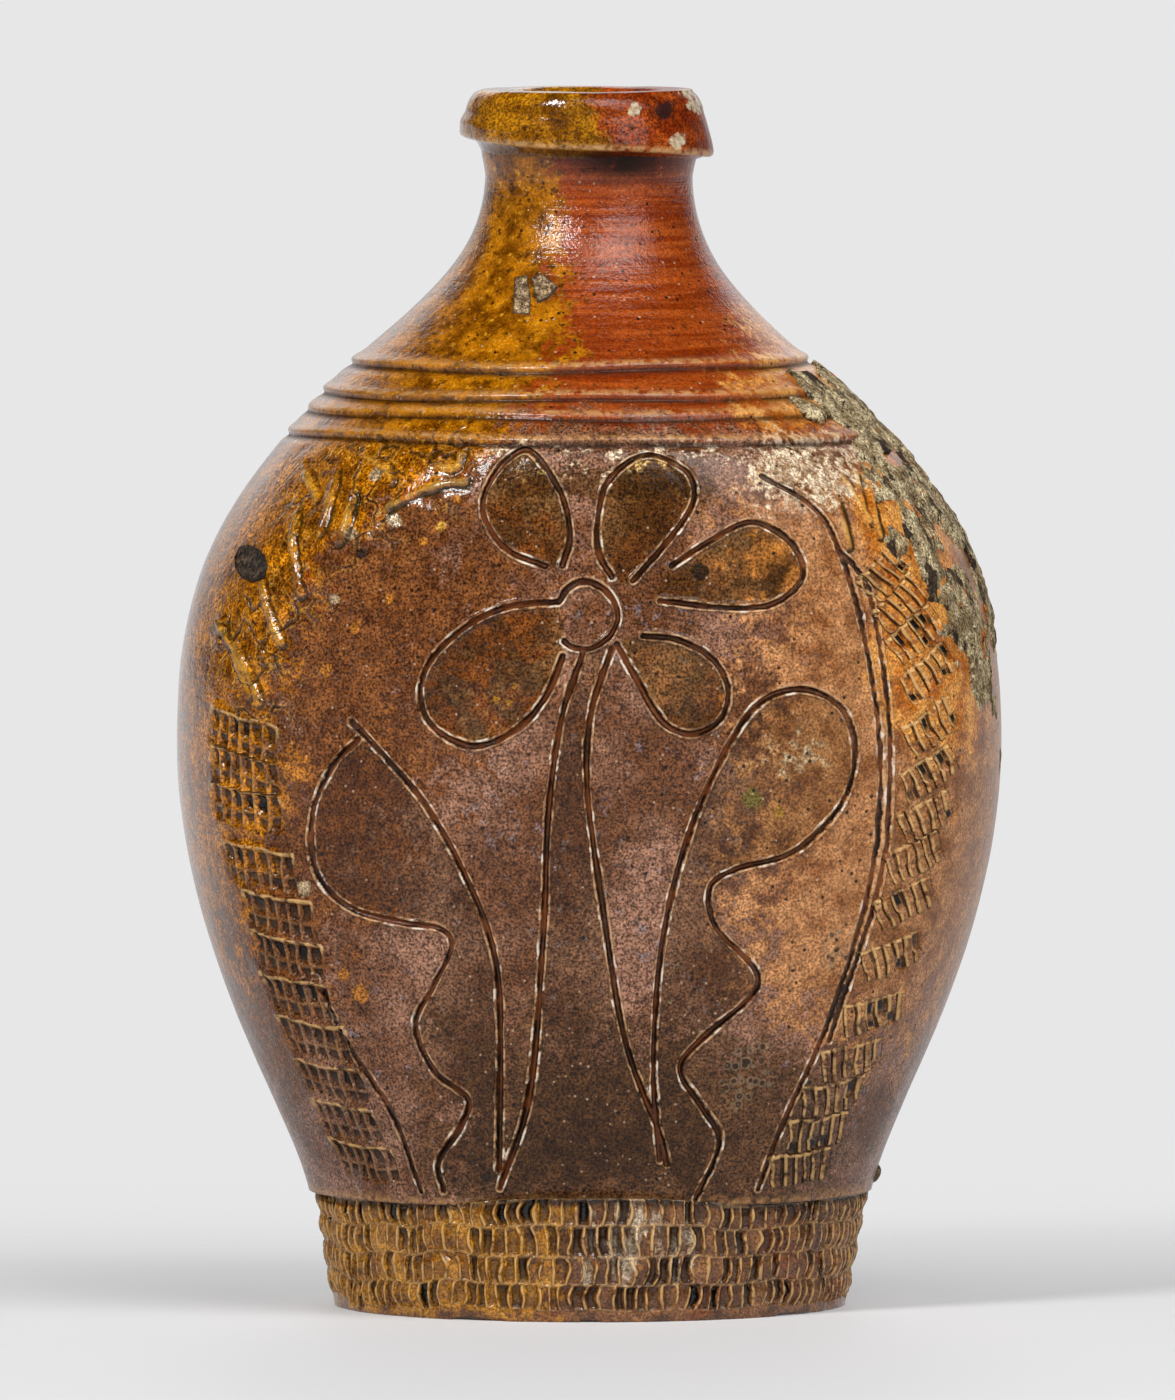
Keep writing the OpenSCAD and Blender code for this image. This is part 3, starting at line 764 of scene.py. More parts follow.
def refine(bm, reaches):
    """Cuts the wall's edges in two near the carved marks, once for each pair of reaches."""
    for line_reach, stroke_reach in reaches:
        near = []
        for edge in bm.edges:
            middle = (edge.verts[0].co + edge.verts[1].co) / 2
            if middle.y > 0 or middle.z < FOOT_H or middle.z > REFINED_TOP:
                continue
            radius = math.hypot(middle.x, middle.y)
            if radius < float(round_r(middle.z)) - WALL / 2:
                continue
            turn = math.atan2(middle.x, -middle.y)
            near.append((edge, turn, middle.z))
        points = on_skin(np.array([n[1] for n in near]), np.array([n[2] for n in near]))
        to_line, _ = nearest(LINE_TREE, points)
        to_tick, _ = nearest(TICK_TREE, points)
        to_stroke, _ = nearest(STROKE_TREE, points)
        wanted = (to_line < line_reach) | (np.minimum(to_stroke, to_tick) < stroke_reach)
        edges = [n[0] for n, want in zip(near, wanted) if want]
        bmesh.ops.subdivide_edges(bm, edges=edges, cuts=1, use_grid_fill=True)


def inside(outline, x, height):
    """Which points lie inside a closed outline, seen from the front."""
    line = through(list(outline) + [outline[0]], 1.0)
    within = np.zeros(len(x), bool)
    for (x0, z0), (x1, z1) in zip(line, line[1:]):
        crosses = (z0 > height) != (z1 > height)
        within ^= crosses & (x < x0 + (height - z0) * (x1 - x0) / (z1 - z0 + 1e-12))
    return within


def stroke_grid(points, frames, marks):
    """Where each point lies on the nearest stroke: along it in marks, down it in rows, and how far inside."""
    along, down = np.zeros(len(points)), np.zeros(len(points))
    within = np.full(len(points), -FAR)
    for number, (middle, heading, across, length) in enumerate(frames):
        offset = points - middle
        u = offset @ heading + 0.5 * lumps(points, 2.8, number) + 0.15 * (offset @ across)
        v = offset @ across + 0.4 * lumps(points, 3.0, number + 50)
        inside_by = np.minimum(length / 2 - np.abs(u), STROKE_H / 2 - np.abs(v))
        best = (inside_by > within) & (np.linalg.norm(offset, axis=1) < length)
        along[best] = ((u / length + 0.5) * marks + 20 * number)[best]
        down[best] = np.interp(0.5 - v / STROKE_H, [0, TALL_ROW, 1], [0, 1, STROKE_ROWS])[best]
        within[best] = inside_by[best]
    return along, down, within


def cell_luck(along, down, seed):
    """A random value from 0 to 1 for each cell among the coggle's marks."""
    cell = np.stack([np.floor(along), np.floor(down), np.zeros(len(along))], axis=-1)
    return 0.5 + 0.5 * lumps(cell, 1.0, seed)


def to_wall(along, down, pitch, row_h):
    """How far a place among the coggle's marks is from the walls between them."""
    to_side = (0.5 - np.abs(along % 1 - 0.5)) * pitch
    to_row = (0.5 - np.abs(down % 1 - 0.5)) * row_h
    return to_side, to_row


def amber_edge(height):
    """Where the amber of the left side ends, as x, at each height."""
    heights = [15, 50, 60, 75, 85, 100, 118, 127, 132, 137, 145, 150, 190]
    edges = [-46, -49, -50, -50, -47, -48, -43, -34, -24, -16, -8, -4, -2]
    return np.interp(height, heights, edges)


def blot(x, z, middle, reach):
    """A soft patch of the front: its middle and its reach, each in x and in height."""
    return bell(x, middle[0], reach[0]) * bell(z, middle[1], reach[1])


def glaze_zones(points):
    """How much of each glaze lies at each point, from its x and its height on the wall."""
    x, y, z = points.T
    front = y < 0
    wander = 4 * lumps(points, 16, 3) + 2 * lumps(points, 6, 4)
    ash = 0.38 * bell(z, 134.5, 4.0) * ease(np.abs(x - 6), 36, 14) * front
    ash_right = 0.72 * bell(z, 132, 7) * ease(np.abs(x - 33), 15, 4) * front
    turned = np.degrees(np.arctan2(x, -y))
    orange_border = ease(x + wander, 36, 50) * ease(z, 74, 104) * ease(z, 150, 138) * ease(turned, 82, 66)
    ash_leaf = 0.34 * blot(x, z, (31, 88), (8, 8)) * front
    scurf = np.maximum(blot(x, z, (24.4, 39.6), (5, 6)), blot(x, z, (39, 57.5), (3, 3.5)))
    orange_shoulder = 0.8 * ease(x + wander, 14, 34) * ease(z, 133, 141) * ease(z, 172, 156)
    dusk_top = 0.75 * bell(z, 131, 5) * ease(np.abs(x - 2), 26, 12) * front
    dusk = ease(z + wander, 66, 24) * ease(np.abs(x - 6) + wander, 46, 14)
    amber = ease(amber_edge(z) - x + wander, -9, 9) * ease(z + wander, 30, 84)
    froth = bell(amber, 0.45, 0.25) * ease(z, 92, 108) * ease(z, 140, 132)
    return {
        "amber": amber,
        "froth": froth * front,
        "umber": 0.72 * ease(z + wander - 1.6 * np.minimum(x + 18, 0), 48, 112) * ease(x + wander, 26, -30),
        "red": ease(z + wander * 0.5 + 0.15 * np.abs(x), 134, 150),
        "tan": ease(x + wander, 6, 44) * ease(z, 152, 122) * ease(z, 20, 66),
        "dusk": np.maximum(dusk, dusk_top),
        "orange": np.maximum(orange_border, orange_shoulder),
        "ash": np.maximum(np.maximum(ash, ash_right), ash_leaf),
        "scurf": 0.95 * scurf * front,
    }


def ring_relief(turn, height):
    """The turned rings of the shoulder: a ridge over a narrow groove, and where their painted highlight and
    painted shade go.
    """
    relief, groove, ridge = np.zeros(len(height)), np.zeros(len(height)), np.zeros(len(height))
    for number, (ring_z, proud) in enumerate(RINGS):
        z = height - ring_z - 0.25 * np.sin(2 * turn + number) - 0.15 * np.sin(5 * turn + 2 * number)
        relief += proud * bell(z, 0, 0.7) - 1.2 * proud * bell(z, -1.2, 0.5)
        groove = np.maximum(groove, bell(z, -1.2, 0.4))
        ridge = np.maximum(ridge, bell(z, 0.1, 0.35))
    return relief, groove, ridge


def flask_wall():
    """The thrown and paddled body with its incised flower and coggled borders."""
    bm = spun(wall_profile(), 144)
    refine(bm, REFINE_REACHES)
    raw = coordinates(bm)
    turn, height = np.arctan2(raw[:, 0], -raw[:, 1]), raw[:, 2]
    radius = np.hypot(raw[:, 0], raw[:, 1])
    outer = (radius > round_r(height) - WALL / 2) & (height >= FOOT_H - 0.01) & (height < COLLAR_Z + 6)
    points = raw.copy()
    hollow = ~outer & (height > FLOOR_Z - 0.1) & (radius > 1)
    points[hollow] = at(
        turn[hollow], height[hollow], np.minimum(radius, face_r(turn, height) - WALL)[hollow]
    )
    skin = on_skin(turn, height)
    front = outer & (raw[:, 1] < 0)
    names = ("fill", "petal", "shade", "crest", "along", "down", "luck", "pillow", "tick_side", "wrinkles")
    marks = {name: np.zeros(len(raw)) for name in names}
    marks |= {name: np.full(len(raw), FAR) for name in ("line_gap", "tick_gap")}
    marks |= {"within": np.full(len(raw), -FAR), "spots": np.zeros((len(raw), 4))}

    relief = 0.2 * lumps(skin, 17, 1) + 0.07 * lumps(skin, 5, 2)
    ring, ring_groove, ring_ridge = ring_relief(turn, height)
    # The shoulder stands out a little more at the left, round the rings
    relief += ring + 0.8 * bell(height, 146, 7) * ease(-np.sin(turn), 0.3, 0.95)
    # A crescent of painted shade under the collar, at the front
    under_collar = ease(height, 174.5, 178.5) * bell(skin[:, 0], 5, 9) * (skin[:, 1] < 0)
    # The neck spreads a little where it meets the collar
    relief += 0.9 * ease(height, COLLAR_Z - 5, COLLAR_Z)
    lower_edge = bell(height, FOOT_H + 0.5, 0.5)
    # Painted shade in the rings' grooves and under the collar; painted highlight on the rings' ridges and the
    # wall's lower edge
    marks["shade"] = np.where(outer, np.maximum(0.95 * ring_groove, under_collar), 0)
    marks["crest"] = np.where(outer, 0.75 * np.maximum(ring_ridge, 0.8 * lower_edge), 0)

    # Incised lines: a groove with a burr on both sides, higher here and there
    on = np.flatnonzero(front & (height < ORNAMENT_TOP))
    spots = skin[on]
    to_line, found = nearest(LINE_TREE, spots)
    to_line = to_line / (1 + 0.22 * lumps(LINE_POINTS[found], 5, 6))
    groove = np.exp(-(to_line / LINE_HALF_W) ** 4)
    burr = bell(to_line, BURR_AT, BURR_W)
    relief[on] += -LINE_DEPTH * groove + BURR_H * burr * (0.8 + 0.6 * lumps(spots, 3, 7))
    marks["line_gap"][on] = np.minimum(to_line, FAR)

    # Beads of glaze along the strokes of the shoulder
    to_tick, found = nearest(TICK_TREE, spots)
    beside = (spots - TICK_POINTS[found]) @ np.array([0.8, 0, -0.6])
    to_tick = to_tick + 0.3 * lumps(spots, 2.4, 8)
    side = ease(beside, -0.2, 0.5)
    wrinkles = ease(to_tick, 8, 3) * ease(spots[:, 0], -16, -22)
    relief[on] += BEAD_H * bell(to_tick, 0, BEAD_HALF_W) * (0.7 + 0.6 * lumps(spots, 3.2, 9))
    relief[on] -= HOLLOW_DEPTH * bell(to_tick, HOLLOW_AT, 0.4) * side
    relief[on] += (0.4 * lumps(spots, 3.2, 10) + 0.12 * lumps(spots, 1.3, 15)) * wrinkles
    for name, values in (("tick_gap", np.minimum(to_tick, FAR)), ("tick_side", side), ("wrinkles", wrinkles)):
        marks[name][on] = values

    # Coggled borders: sunk cells under a rim at the left, raised bricks at the right
    for frames, count, pitch, pillow in (
        (LEFT_FRAMES, LEFT_MARKS, LEFT_PITCH, 0), (RIGHT_FRAMES, RIGHT_MARKS, RIGHT_PITCH, 1)
    ):
        along, down, within = stroke_grid(spots, frames, count)
        luck = cell_luck(along, down, 61 + pillow)
        # At the left the upper row of cells goes deeper and takes darker painted shadow
        if not pillow:
            luck = np.where(down < 1, 0.35 + 0.6 * luck, 0.15 + 0.6 * luck)
        to_side, to_row = to_wall(along, down, pitch, STROKE_ROW_H)
        shelf = 0.3 if pillow else 0.55
        wall = np.maximum(bell(to_side, 0, MARK_WALL), shelf * bell(to_row, 0, MARK_WALL))
        sunk = -MARK_DEPTH * (0.35 + 0.75 * luck) * (1 - wall)
        raised = PILLOW_H * (0.5 + luck) * (1 - 2 * wall) - 0.9 * (luck > 0.86) * (1 - wall)
        relief[on] += ease(within, -0.2, 0.3) * (raised if pillow else sunk)
        if not pillow:
            relief[on] += 0.5 * bell(within, 0, 0.45) * ease(down, 0.6, 0.1)
        closer = within > marks["within"][on]
        for name, values in (
            ("along", along), ("down", down), ("luck", luck), ("pillow", pillow), ("within", within)
        ):
            marks[name][on] = np.where(closer, values, marks[name][on])

    for name, outlines in (("petal", PETALS), ("fill", LEAVES)):
        for outline in outlines:
            marks[name][on] = np.maximum(marks[name][on], inside(outline, spots[:, 0], spots[:, 2]))
    for x, z, size, colour in SPOTS:
        cover = 0.85 * ease(np.linalg.norm(spots - on_front(x, z), axis=1), size * 1.6, size * 0.3)
        marks["spots"][on, :3] = np.where(cover[:, None] > 0.01, colour, marks["spots"][on, :3])
        marks["spots"][on, 3] = np.maximum(marks["spots"][on, 3], cover)

    marks |= glaze_zones(skin)
    points[outer] = at(turn, height, skin_r(turn, height) + relief)[outer]
    # The neck leans a little to the left over the belly
    points[outer, 0] -= NECK_LEAN * bell(height[outer], 152, 14)
    points[outer, 0] = np.clip(points[outer, 0], -BELLY_R, BELLY_R)
    points[outer, 1] = np.clip(points[outer, 1], BODY_LOW.y, BODY_HIGH.y)
    place(bm, points)
    return finished(bm, "flask_wall", body_glaze(), "flask", ["thrown_body"], marks)


def collar_glaze():
    """Olive-amber at the left and red at the right, with a scorch and bare chips."""
    f = Finish("collar_glaze")
    patch, fine = f.noise(4, 4, 0.6), f.noise(1.2, 3, 0.6)
    edge = f.clouds(patch, fine)
    olive = f.mix(linear(106, 62, 0), linear(176, 118, 14), f.between(patch, 0.36, 0.64))
    olive = f.mix(olive, linear(72, 38, 4), f.between(fine, 0.55, 0.68))
    red = f.mix(linear(116, 40, 6), linear(158, 70, 18), f.between(patch, 0.36, 0.64))
    red = f.mix(red, linear(74, 28, 8), f.between(fine, 0.56, 0.68))
    colour = f.mix(olive, red, f.ragged(f.weight("red"), edge, 2))
    colour = f.multiply(colour, (0.74, 0.76, 0.9, 1), f.weight("dim"))
    colour = grainy(f, colour, strength=0.8)
    colour = f.mix(colour, linear(40, 26, 26), f.product(f.ragged(f.weight("scorch"), edge, 4), 0.9))
    bare = f.mix(linear(158, 130, 98), linear(206, 190, 162), f.between(fine, 0.4, 0.6))
    colour = f.mix(colour, bare, f.ragged(f.weight("chips"), edge, 5))
    # Painted highlight along the lower edge, broken up, and painted shade under the overhang
    worn = f.product(f.weight("burr"), f.between(fine, 0.34, 0.6))
    colour = f.mix(colour, linear(212, 164, 104), worn)
    colour = f.mix(colour, linear(30, 16, 8), f.product(f.weight("shade"), f.between(edge, 0.3, 0.5)))
    peel = f.bump(f.noise(1.8, 2), 0.16)
    peel = f.bump(f.noise(0.6, 2), 0.05, peel)
    coat = f.minus(0.95, f.product(f.weight("red"), 0.55))
    return f.done(colour, f.between(patch, -0.6, 2.0), peel, coat=coat, coat_roughness=0.09, specular=0.05)


# Bare places on the collar where chips broke off: x, height, radius
COLLAR_CHIPS = ((16.5, 187.6, 1.3), (13.6, 182.6, 1.2), (7, 187.4, 0.9), (15.4, 189.6, 1.3))


def lip_roll():
    """The collar: a rolled lip that leans out to its overhanging lower edge, lower at the right."""
    over, lean = 2.4, 1.0
    top_r = COLLAR_R - lean
    ring = [(BORE_R, COLLAR_Z + 3), (BORE_R, TOTAL_H - 1.6)]
    ring += [(BORE_R + 0.6, TOTAL_H - 0.5), (BORE_R + 1.6, TOTAL_H - 0.05)]
    ring += [(r, TOTAL_H) for r in np.linspace(BORE_R + 3, top_r - over - 0.6, 4)]
    ring += [
        (top_r - over + over * math.sin(a), TOTAL_H - 3.2 + 3.2 * math.cos(a))
        for a in np.linspace(0.05, math.pi / 2, 12)
    ]
    ring += [(top_r + lean * t, TOTAL_H - 3.6 - (COLLAR_R - NECK_R + 1.2) * t) for t in np.linspace(0, 1, 11)]
    ring += [(COLLAR_R - 0.1, COLLAR_Z + 0.2), (COLLAR_R - 0.5, COLLAR_Z - 0.1)]
    # Under the overhang the clay is smeared down on to the neck
    root_r, smear_h = NECK_R + 0.1, 3.0
    smear_w = COLLAR_R - 0.9 - root_r
    ring += [
        (root_r + smear_w * (1 - math.sin(a)), COLLAR_Z + 0.1 - smear_h * (1 - math.cos(a)))
        for a in np.linspace(0, math.pi / 2, 7)
    ]
    ring += [(NECK_R - 0.4, COLLAR_Z - 3), (NECK_R - 2.5, COLLAR_Z + 3)]
    bm = spun(ring, 160, closed=True)
    raw = coordinates(bm)
    turn, height = np.arctan2(raw[:, 0], -raw[:, 1]), raw[:, 2]
    radius = np.hypot(raw[:, 0], raw[:, 1])
    rolled = ease(radius, NECK_R - 0.5, NECK_R + 1.5)
    low = ease(height, COLLAR_Z + 6, COLLAR_Z)
    rise = np.sin(turn)
    # The right side slants in more towards the top, and the lower edge falls to the right
    slant = -0.9 * ease(rise, 0.2, 0.9) * ease(height, COLLAR_Z + 1.5, TOTAL_H) * rolled
    drop = (0.1 - 1.3 * rise + 0.25 * np.sin(3 * turn)) * low * rolled
    bulge = 0.7 * ease(-rise, 0.2, 0.9) * bell(height, COLLAR_Z + 3.6, 2.4) * rolled
    uneven = (0.15 * lumps(raw, 7, 11) + 0.1 * lumps(raw, 2.5, 12)) * rolled
    points = at(turn, height + drop, radius + slant + bulge + uneven)
    points[:, 0] -= 0.35 * rolled
    points[:, 2] = np.minimum(points[:, 2] + 0.15 * lumps(raw, 6, 13) * (1 - low), TOTAL_H)
    place(bm, points)
    # Where the painted highlight lies along the lower edge
    burr = bell(height, COLLAR_Z + 0.3, 0.5) * ease(radius, COLLAR_R - 1.5, COLLAR_R - 0.4)
    x, z = points[:, 0], points[:, 2]
    front = points[:, 1] < 4
    chips = np.zeros(len(raw))
    for chip_x, chip_z, size in COLLAR_CHIPS:
        chips = np.maximum(chips, 0.8 * front * ease(np.hypot(x - chip_x, z - chip_z), size * 2, size * 0.2))
    scorch = 0.9 * front * ease(np.hypot(x - 11.6, z - 187), 3.0, 0.5)
    # Painted shade under the overhang, darkest in a crescent at the front
    crescent = 0.08 + 0.85 * bell(x, 1.5, 7) * front
    marks = {
        "red": ease(x + 3 * lumps(raw, 5, 14), -6, 8),
        "dim": 0.9 * bell(x, 2, 6) * front,
        "shade": ease(height, COLLAR_Z + 0.1, COLLAR_Z - 0.5) * crescent,
        "chips": chips, "scorch": scorch, "burr": burr,
    }
    return finished(bm, "lip_roll", collar_glaze(), "flask", ["lip_collar"], marks)


# The strap: bricks round it, the depth of their marks, how far it leans out and its rows
STRAP_BRICKS = 128
STRAP_DEPTH = 0.8
STRAP_LEAN = 3.0
STRAP_ROW_H = 4.1
STRAP_PITCH = 2 * math.pi * STRAP_HIGH.x / STRAP_BRICKS
# Heights of the lines between the strap's rows, from the plain band at its lower edge up
STRAP_ROW_LINES = [1.8, 5.8, 10.2, 14.4, FOOT_H]


def strap_glaze():
    """Brown with amber at the left and pale runs near the middle."""
    f = Finish("strap_glaze")
    broad, patch, fine = f.noise(12, 3), f.noise(4, 4, 0.6), f.noise(1.2, 3, 0.6)
    edge = f.clouds(patch, fine)
    streaks = f.noise(2.4, 3, 0.6, stretch=(1, 1, 0.25), shift=2.0)
    patches = f.between(patch, 0.36, 0.64)
    brown = f.mix(linear(86, 53, 28), linear(142, 97, 60), patches)
    brown = f.mix(brown, linear(120, 62, 30), f.product(f.between(broad, 0.52, 0.64), 0.7))
    amber = f.mix(linear(122, 74, 10), linear(186, 130, 40), patches)
    pale = f.mix(linear(146, 118, 92), linear(206, 190, 166), f.between(fine, 0.4, 0.6))
    colour = f.mix(brown, amber, f.ragged(f.weight("amber"), edge))
    colour = f.mix(colour, pale, f.ragged(f.weight("runs"), streaks, 5))
    colour = grainy(f, colour, strength=0.75)
    colour, marks = coggle_marks(
        f, colour, pitch=STRAP_PITCH, row_h=STRAP_ROW_H, wall_w=0.44, level=0.45, fall=0.5,
        pale_from=0.1, darkest=0.9, bright=0.85,
    )
    # Painted shade along the top of the strap, under the wall's edge
    shade = f.product(f.weight("shade"), f.between(patch, 0.3, 0.55))
    colour = f.mix(colour, linear(22, 13, 8), shade)
    peel = f.bump(f.noise(1.3, 2), 0.14)
    peel = f.bump(f.noise(0.6, 2), 0.12, peel)
    peel = f.bump(marks, 0.3, peel)
    return f.done(colour, f.between(patch, -0.5, 2.0), peel, coat=0.9, coat_roughness=0.08, specular=0.05)


def coggled_strap():
    """The band round the foot, rolled with a coggle wheel in four uneven rows of upright bricks."""
    low_r, rows_z = STRAP_HIGH.x - STRAP_LEAN + 0.1, 52
    outside = [(low_r + STRAP_LEAN * t, FOOT_H * t) for t in np.linspace(0, 1, rows_z)]
    ring = [(CORE_R - 1, 0.0), (low_r - 1.2, 0.0)] + outside + [(CORE_R + 3, FOOT_H), (CORE_R - 1, FOOT_H)]
    bm = spun(ring, 6 * STRAP_BRICKS, closed=True)
    raw = coordinates(bm)
    turn, height = np.arctan2(raw[:, 0], -raw[:, 1]), raw[:, 2]
    radius = np.hypot(raw[:, 0], raw[:, 1])
    outer = radius > low_r + STRAP_LEAN * height / FOOT_H - 0.3
    skin = at(turn, height, radius)
    round_only = skin * np.array([1, 1, 0.15])

    # Over the flattened faces the band is pushed up into a ledge
    lift = 1.3 * np.exp(-(np.abs(np.cos(turn)) - 1) ** 2 / 0.012) * ease(height, FOOT_H / 2, FOOT_H)
    waved = height + 0.9 * lumps(round_only, 9, 21) + 0.5 * lumps(round_only, 3.5, 22)
    rows = len(STRAP_ROW_LINES) - 1
    down = np.interp(waved, STRAP_ROW_LINES, np.arange(rows, -1.0, -1.0))
    row = np.clip(np.floor(down), 0, rows - 1)
    along = turn / (2 * math.pi) * STRAP_BRICKS + 0.43 * row
    along += 0.45 * lumps(skin, 4, 23) + 0.2 * lumps(skin, 1.8, 24)
    within = np.where(outer, waved - STRAP_ROW_LINES[0], -FAR)
    to_side, to_row = to_wall(along, down, STRAP_PITCH, STRAP_ROW_H)
    wall = np.maximum(bell(to_side, 0, 0.45), 0.85 * bell(to_row, 0, 0.4))
    # The marks of the top and the lowest row went in deeper, and take darker painted shade
    luck = np.clip(cell_luck(along, down, 25) * 0.86 + 0.18 * ((row == 0) | (row == rows - 1)), 0, 1)
    depth = STRAP_DEPTH * (0.35 + 1.1 * luck)
    relief = -depth * (1 - wall) * ease(within, -0.3, 0.4) + 0.25 * (wall - 0.5) + 0.2 * lumps(skin, 3, 26)
    bulge = 0.5 * np.sin(math.pi * (down % 1)) * (within > 0)
    points = skin.copy()
    points[outer] = at(turn, height, np.minimum(radius + relief + bulge - 0.15, STRAP_HIGH.x + 0.8))[outer]
    points[:, 2] += lift
    nick = ease(height, 1.6, 0) * ease(lumps(skin * np.array([1, 1, 0]), 5, 27), 0.35, 0.7)
    points[:, 2] += np.where(outer, 0.8 * nick, 0)
    points[:, 0] += 0.3 * ease(height, 0, FOOT_H)
    place(bm, points)
    x, front = points[:, 0], points[:, 1] < 0
    marks = {
        "along": along, "down": down, "within": within, "luck": luck,
        # painted shade under the wall's edge
        "shade": np.where(outer, ease(height, FOOT_H - 1.6, FOOT_H), 0),
        "amber": 0.9 * ease(x, 6, -16) * ease(height, -7, 5),
        "runs": 0.55 * bell(x, 7, 10) * front * ease(height, 3, 9),
    }
    return finished(bm, "coggled_strap", strap_glaze(), "flask", ["foot_strap"], marks)


def kiln_slag():
    """Grey-green slag with orange and black in it."""
    f = Finish("kiln_slag")
    streaks = f.noise(4, 4, 0.7, stretch=(1, 1, 0.4))
    patch, fine = f.noise(3, 4, 0.65), f.noise(1.0, 3, 0.65)
    colour = f.mix(linear(134, 115, 82), linear(202, 188, 154), f.between(patch, 0.4, 0.6))
    colour = f.mix(colour, linear(196, 112, 40), f.between(f.noise(5, 4, 0.65, shift=6.0), 0.59, 0.65))
    colour = f.mix(colour, linear(58, 45, 33), f.between(streaks, 0.52, 0.6))
    colour = f.mix(colour, linear(26, 20, 16), f.between(f.noise(1.6, 3, 0.7, shift=4.0), 0.58, 0.66))
    colour = grainy(f, colour, strength=0.9)
    rough = f.bump(fine, 0.7)
    rough = f.bump(f.noise(0.5, 2), 0.2, rough)
    return f.done(colour, f.between(fine, -1.4, 1.2), rough, specular=0.25)


# The part of the wall in which the crust lies: middle and reach of its turn in degrees and of its height
CRUST_TURN = (82, 44)
CRUST_HEIGHT = (116, 37)
# Blots that make up the crust: turn in degrees, height, radius
CRUST_BLOTS = [
    (66, 144, 5), (70, 138, 8), (66, 128, 9), (63, 119, 8), (69, 110, 9), (75, 101, 8), (80, 93, 6),
    (88, 141, 9), (85, 127, 14), (88, 113, 12), (100, 132, 11), (102, 120, 9), (56, 121, 4), (59, 130, 5),
    (54, 141, 3), (84, 86, 4),
]


def slag_crust():
    """The rough crust of slag and ash that fell on the right shoulder."""
    bm = bmesh.new()
    bmesh.ops.create_grid(bm, x_segments=170, y_segments=150, size=1)
    grid = coordinates(bm)
    turn = np.radians(CRUST_TURN[0] + CRUST_TURN[1] * grid[:, 0])
    height = CRUST_HEIGHT[0] + CRUST_HEIGHT[1] * grid[:, 1]
    base = on_skin(turn, height)
    cover = np.full(len(grid), -FAR)
    for blot_turn, blot_z, size in CRUST_BLOTS:
        middle = on_skin(np.radians(blot_turn), blot_z)
        cover = np.maximum(cover, 1 - np.linalg.norm(base - middle, axis=1) / size)
    cover += 0.35 * lumps(base, 6, 31) + 0.35 * lumps(base, 2.6, 32)
    thick = 1.1 * ease(cover, 0, 0.35) * (0.55 + 0.5 * lumps(base, 4.5, 33) + 0.35 * lumps(base, 1.6, 34))
    thick *= ease(height, 90, 104) * 0.8 + 0.2
    points = at(turn, height, skin_r(turn, height) + thick - 0.15)
    points[:, 0] = np.minimum(points[:, 0], BELLY_R)
    place(bm, points)
    bare = [vert for vert, share in zip(bm.verts, cover) if share < 0]
    bmesh.ops.delete(bm, geom=bare, context="VERTS")
    bmesh.ops.recalc_face_normals(bm, faces=bm.faces)
    if sum(face.normal.x for face in bm.faces) < 0:
        bmesh.ops.reverse_faces(bm, faces=bm.faces)
    bmesh.ops.solidify(bm, geom=bm.faces, thickness=0.8)
    return finished(bm, "slag_crust", kiln_slag(), "flask", ["kiln_crust"])


def kiln_grit():
    """Dark grit, or pale shards with dark edges."""
    f = Finish("kiln_grit")
    patch, grain = f.noise(1.2, 3, 0.6), f.noise(0.5, 2)
    colour = f.mix(linear(30, 23, 18), linear(78, 64, 52), f.between(patch, 0.42, 0.58))
    shard = f.mix(linear(104, 84, 60), linear(164, 144, 114), f.between(patch, 0.38, 0.62))
    colour = f.mix(colour, shard, f.weight("pale"))
    colour = f.mix(colour, linear(30, 20, 12), f.product(f.weight("edge"), 0.8))
    colour = grainy(f, colour)
    return f.done(colour, f.between(patch, -0.8, 1.6), f.bump(grain, 0.25), specular=0.25)


# Shards and the grain caught in the glaze: corners as x and height, how far out, how pale
CHIPS = [
    ([(-11.5, 161), (-9.6, 161.4), (-9, 158), (-9.2, 155.6), (-11.7, 155.7)], 0.5, 1.0),
    ([(-9, 161), (-7, 161.6), (-4.9, 159.8), (-6.3, 158.1), (-8, 157.4)], 0.6, 1.0),
    ([(-54.8, 117.8), (-54, 119.4), (-52.6, 119.9), (-51, 119.4), (-50.2, 118.4), (-49.9, 116.8),
      (-50.6, 115.2), (-52.2, 114.6), (-53.8, 115), (-54.6, 116.2)], 0.5, 0.0),
]
# The blob of clay on the seam over the foot: turn in degrees, height, radius
SEAM_BLOB = (90, 20.5, 1.9)


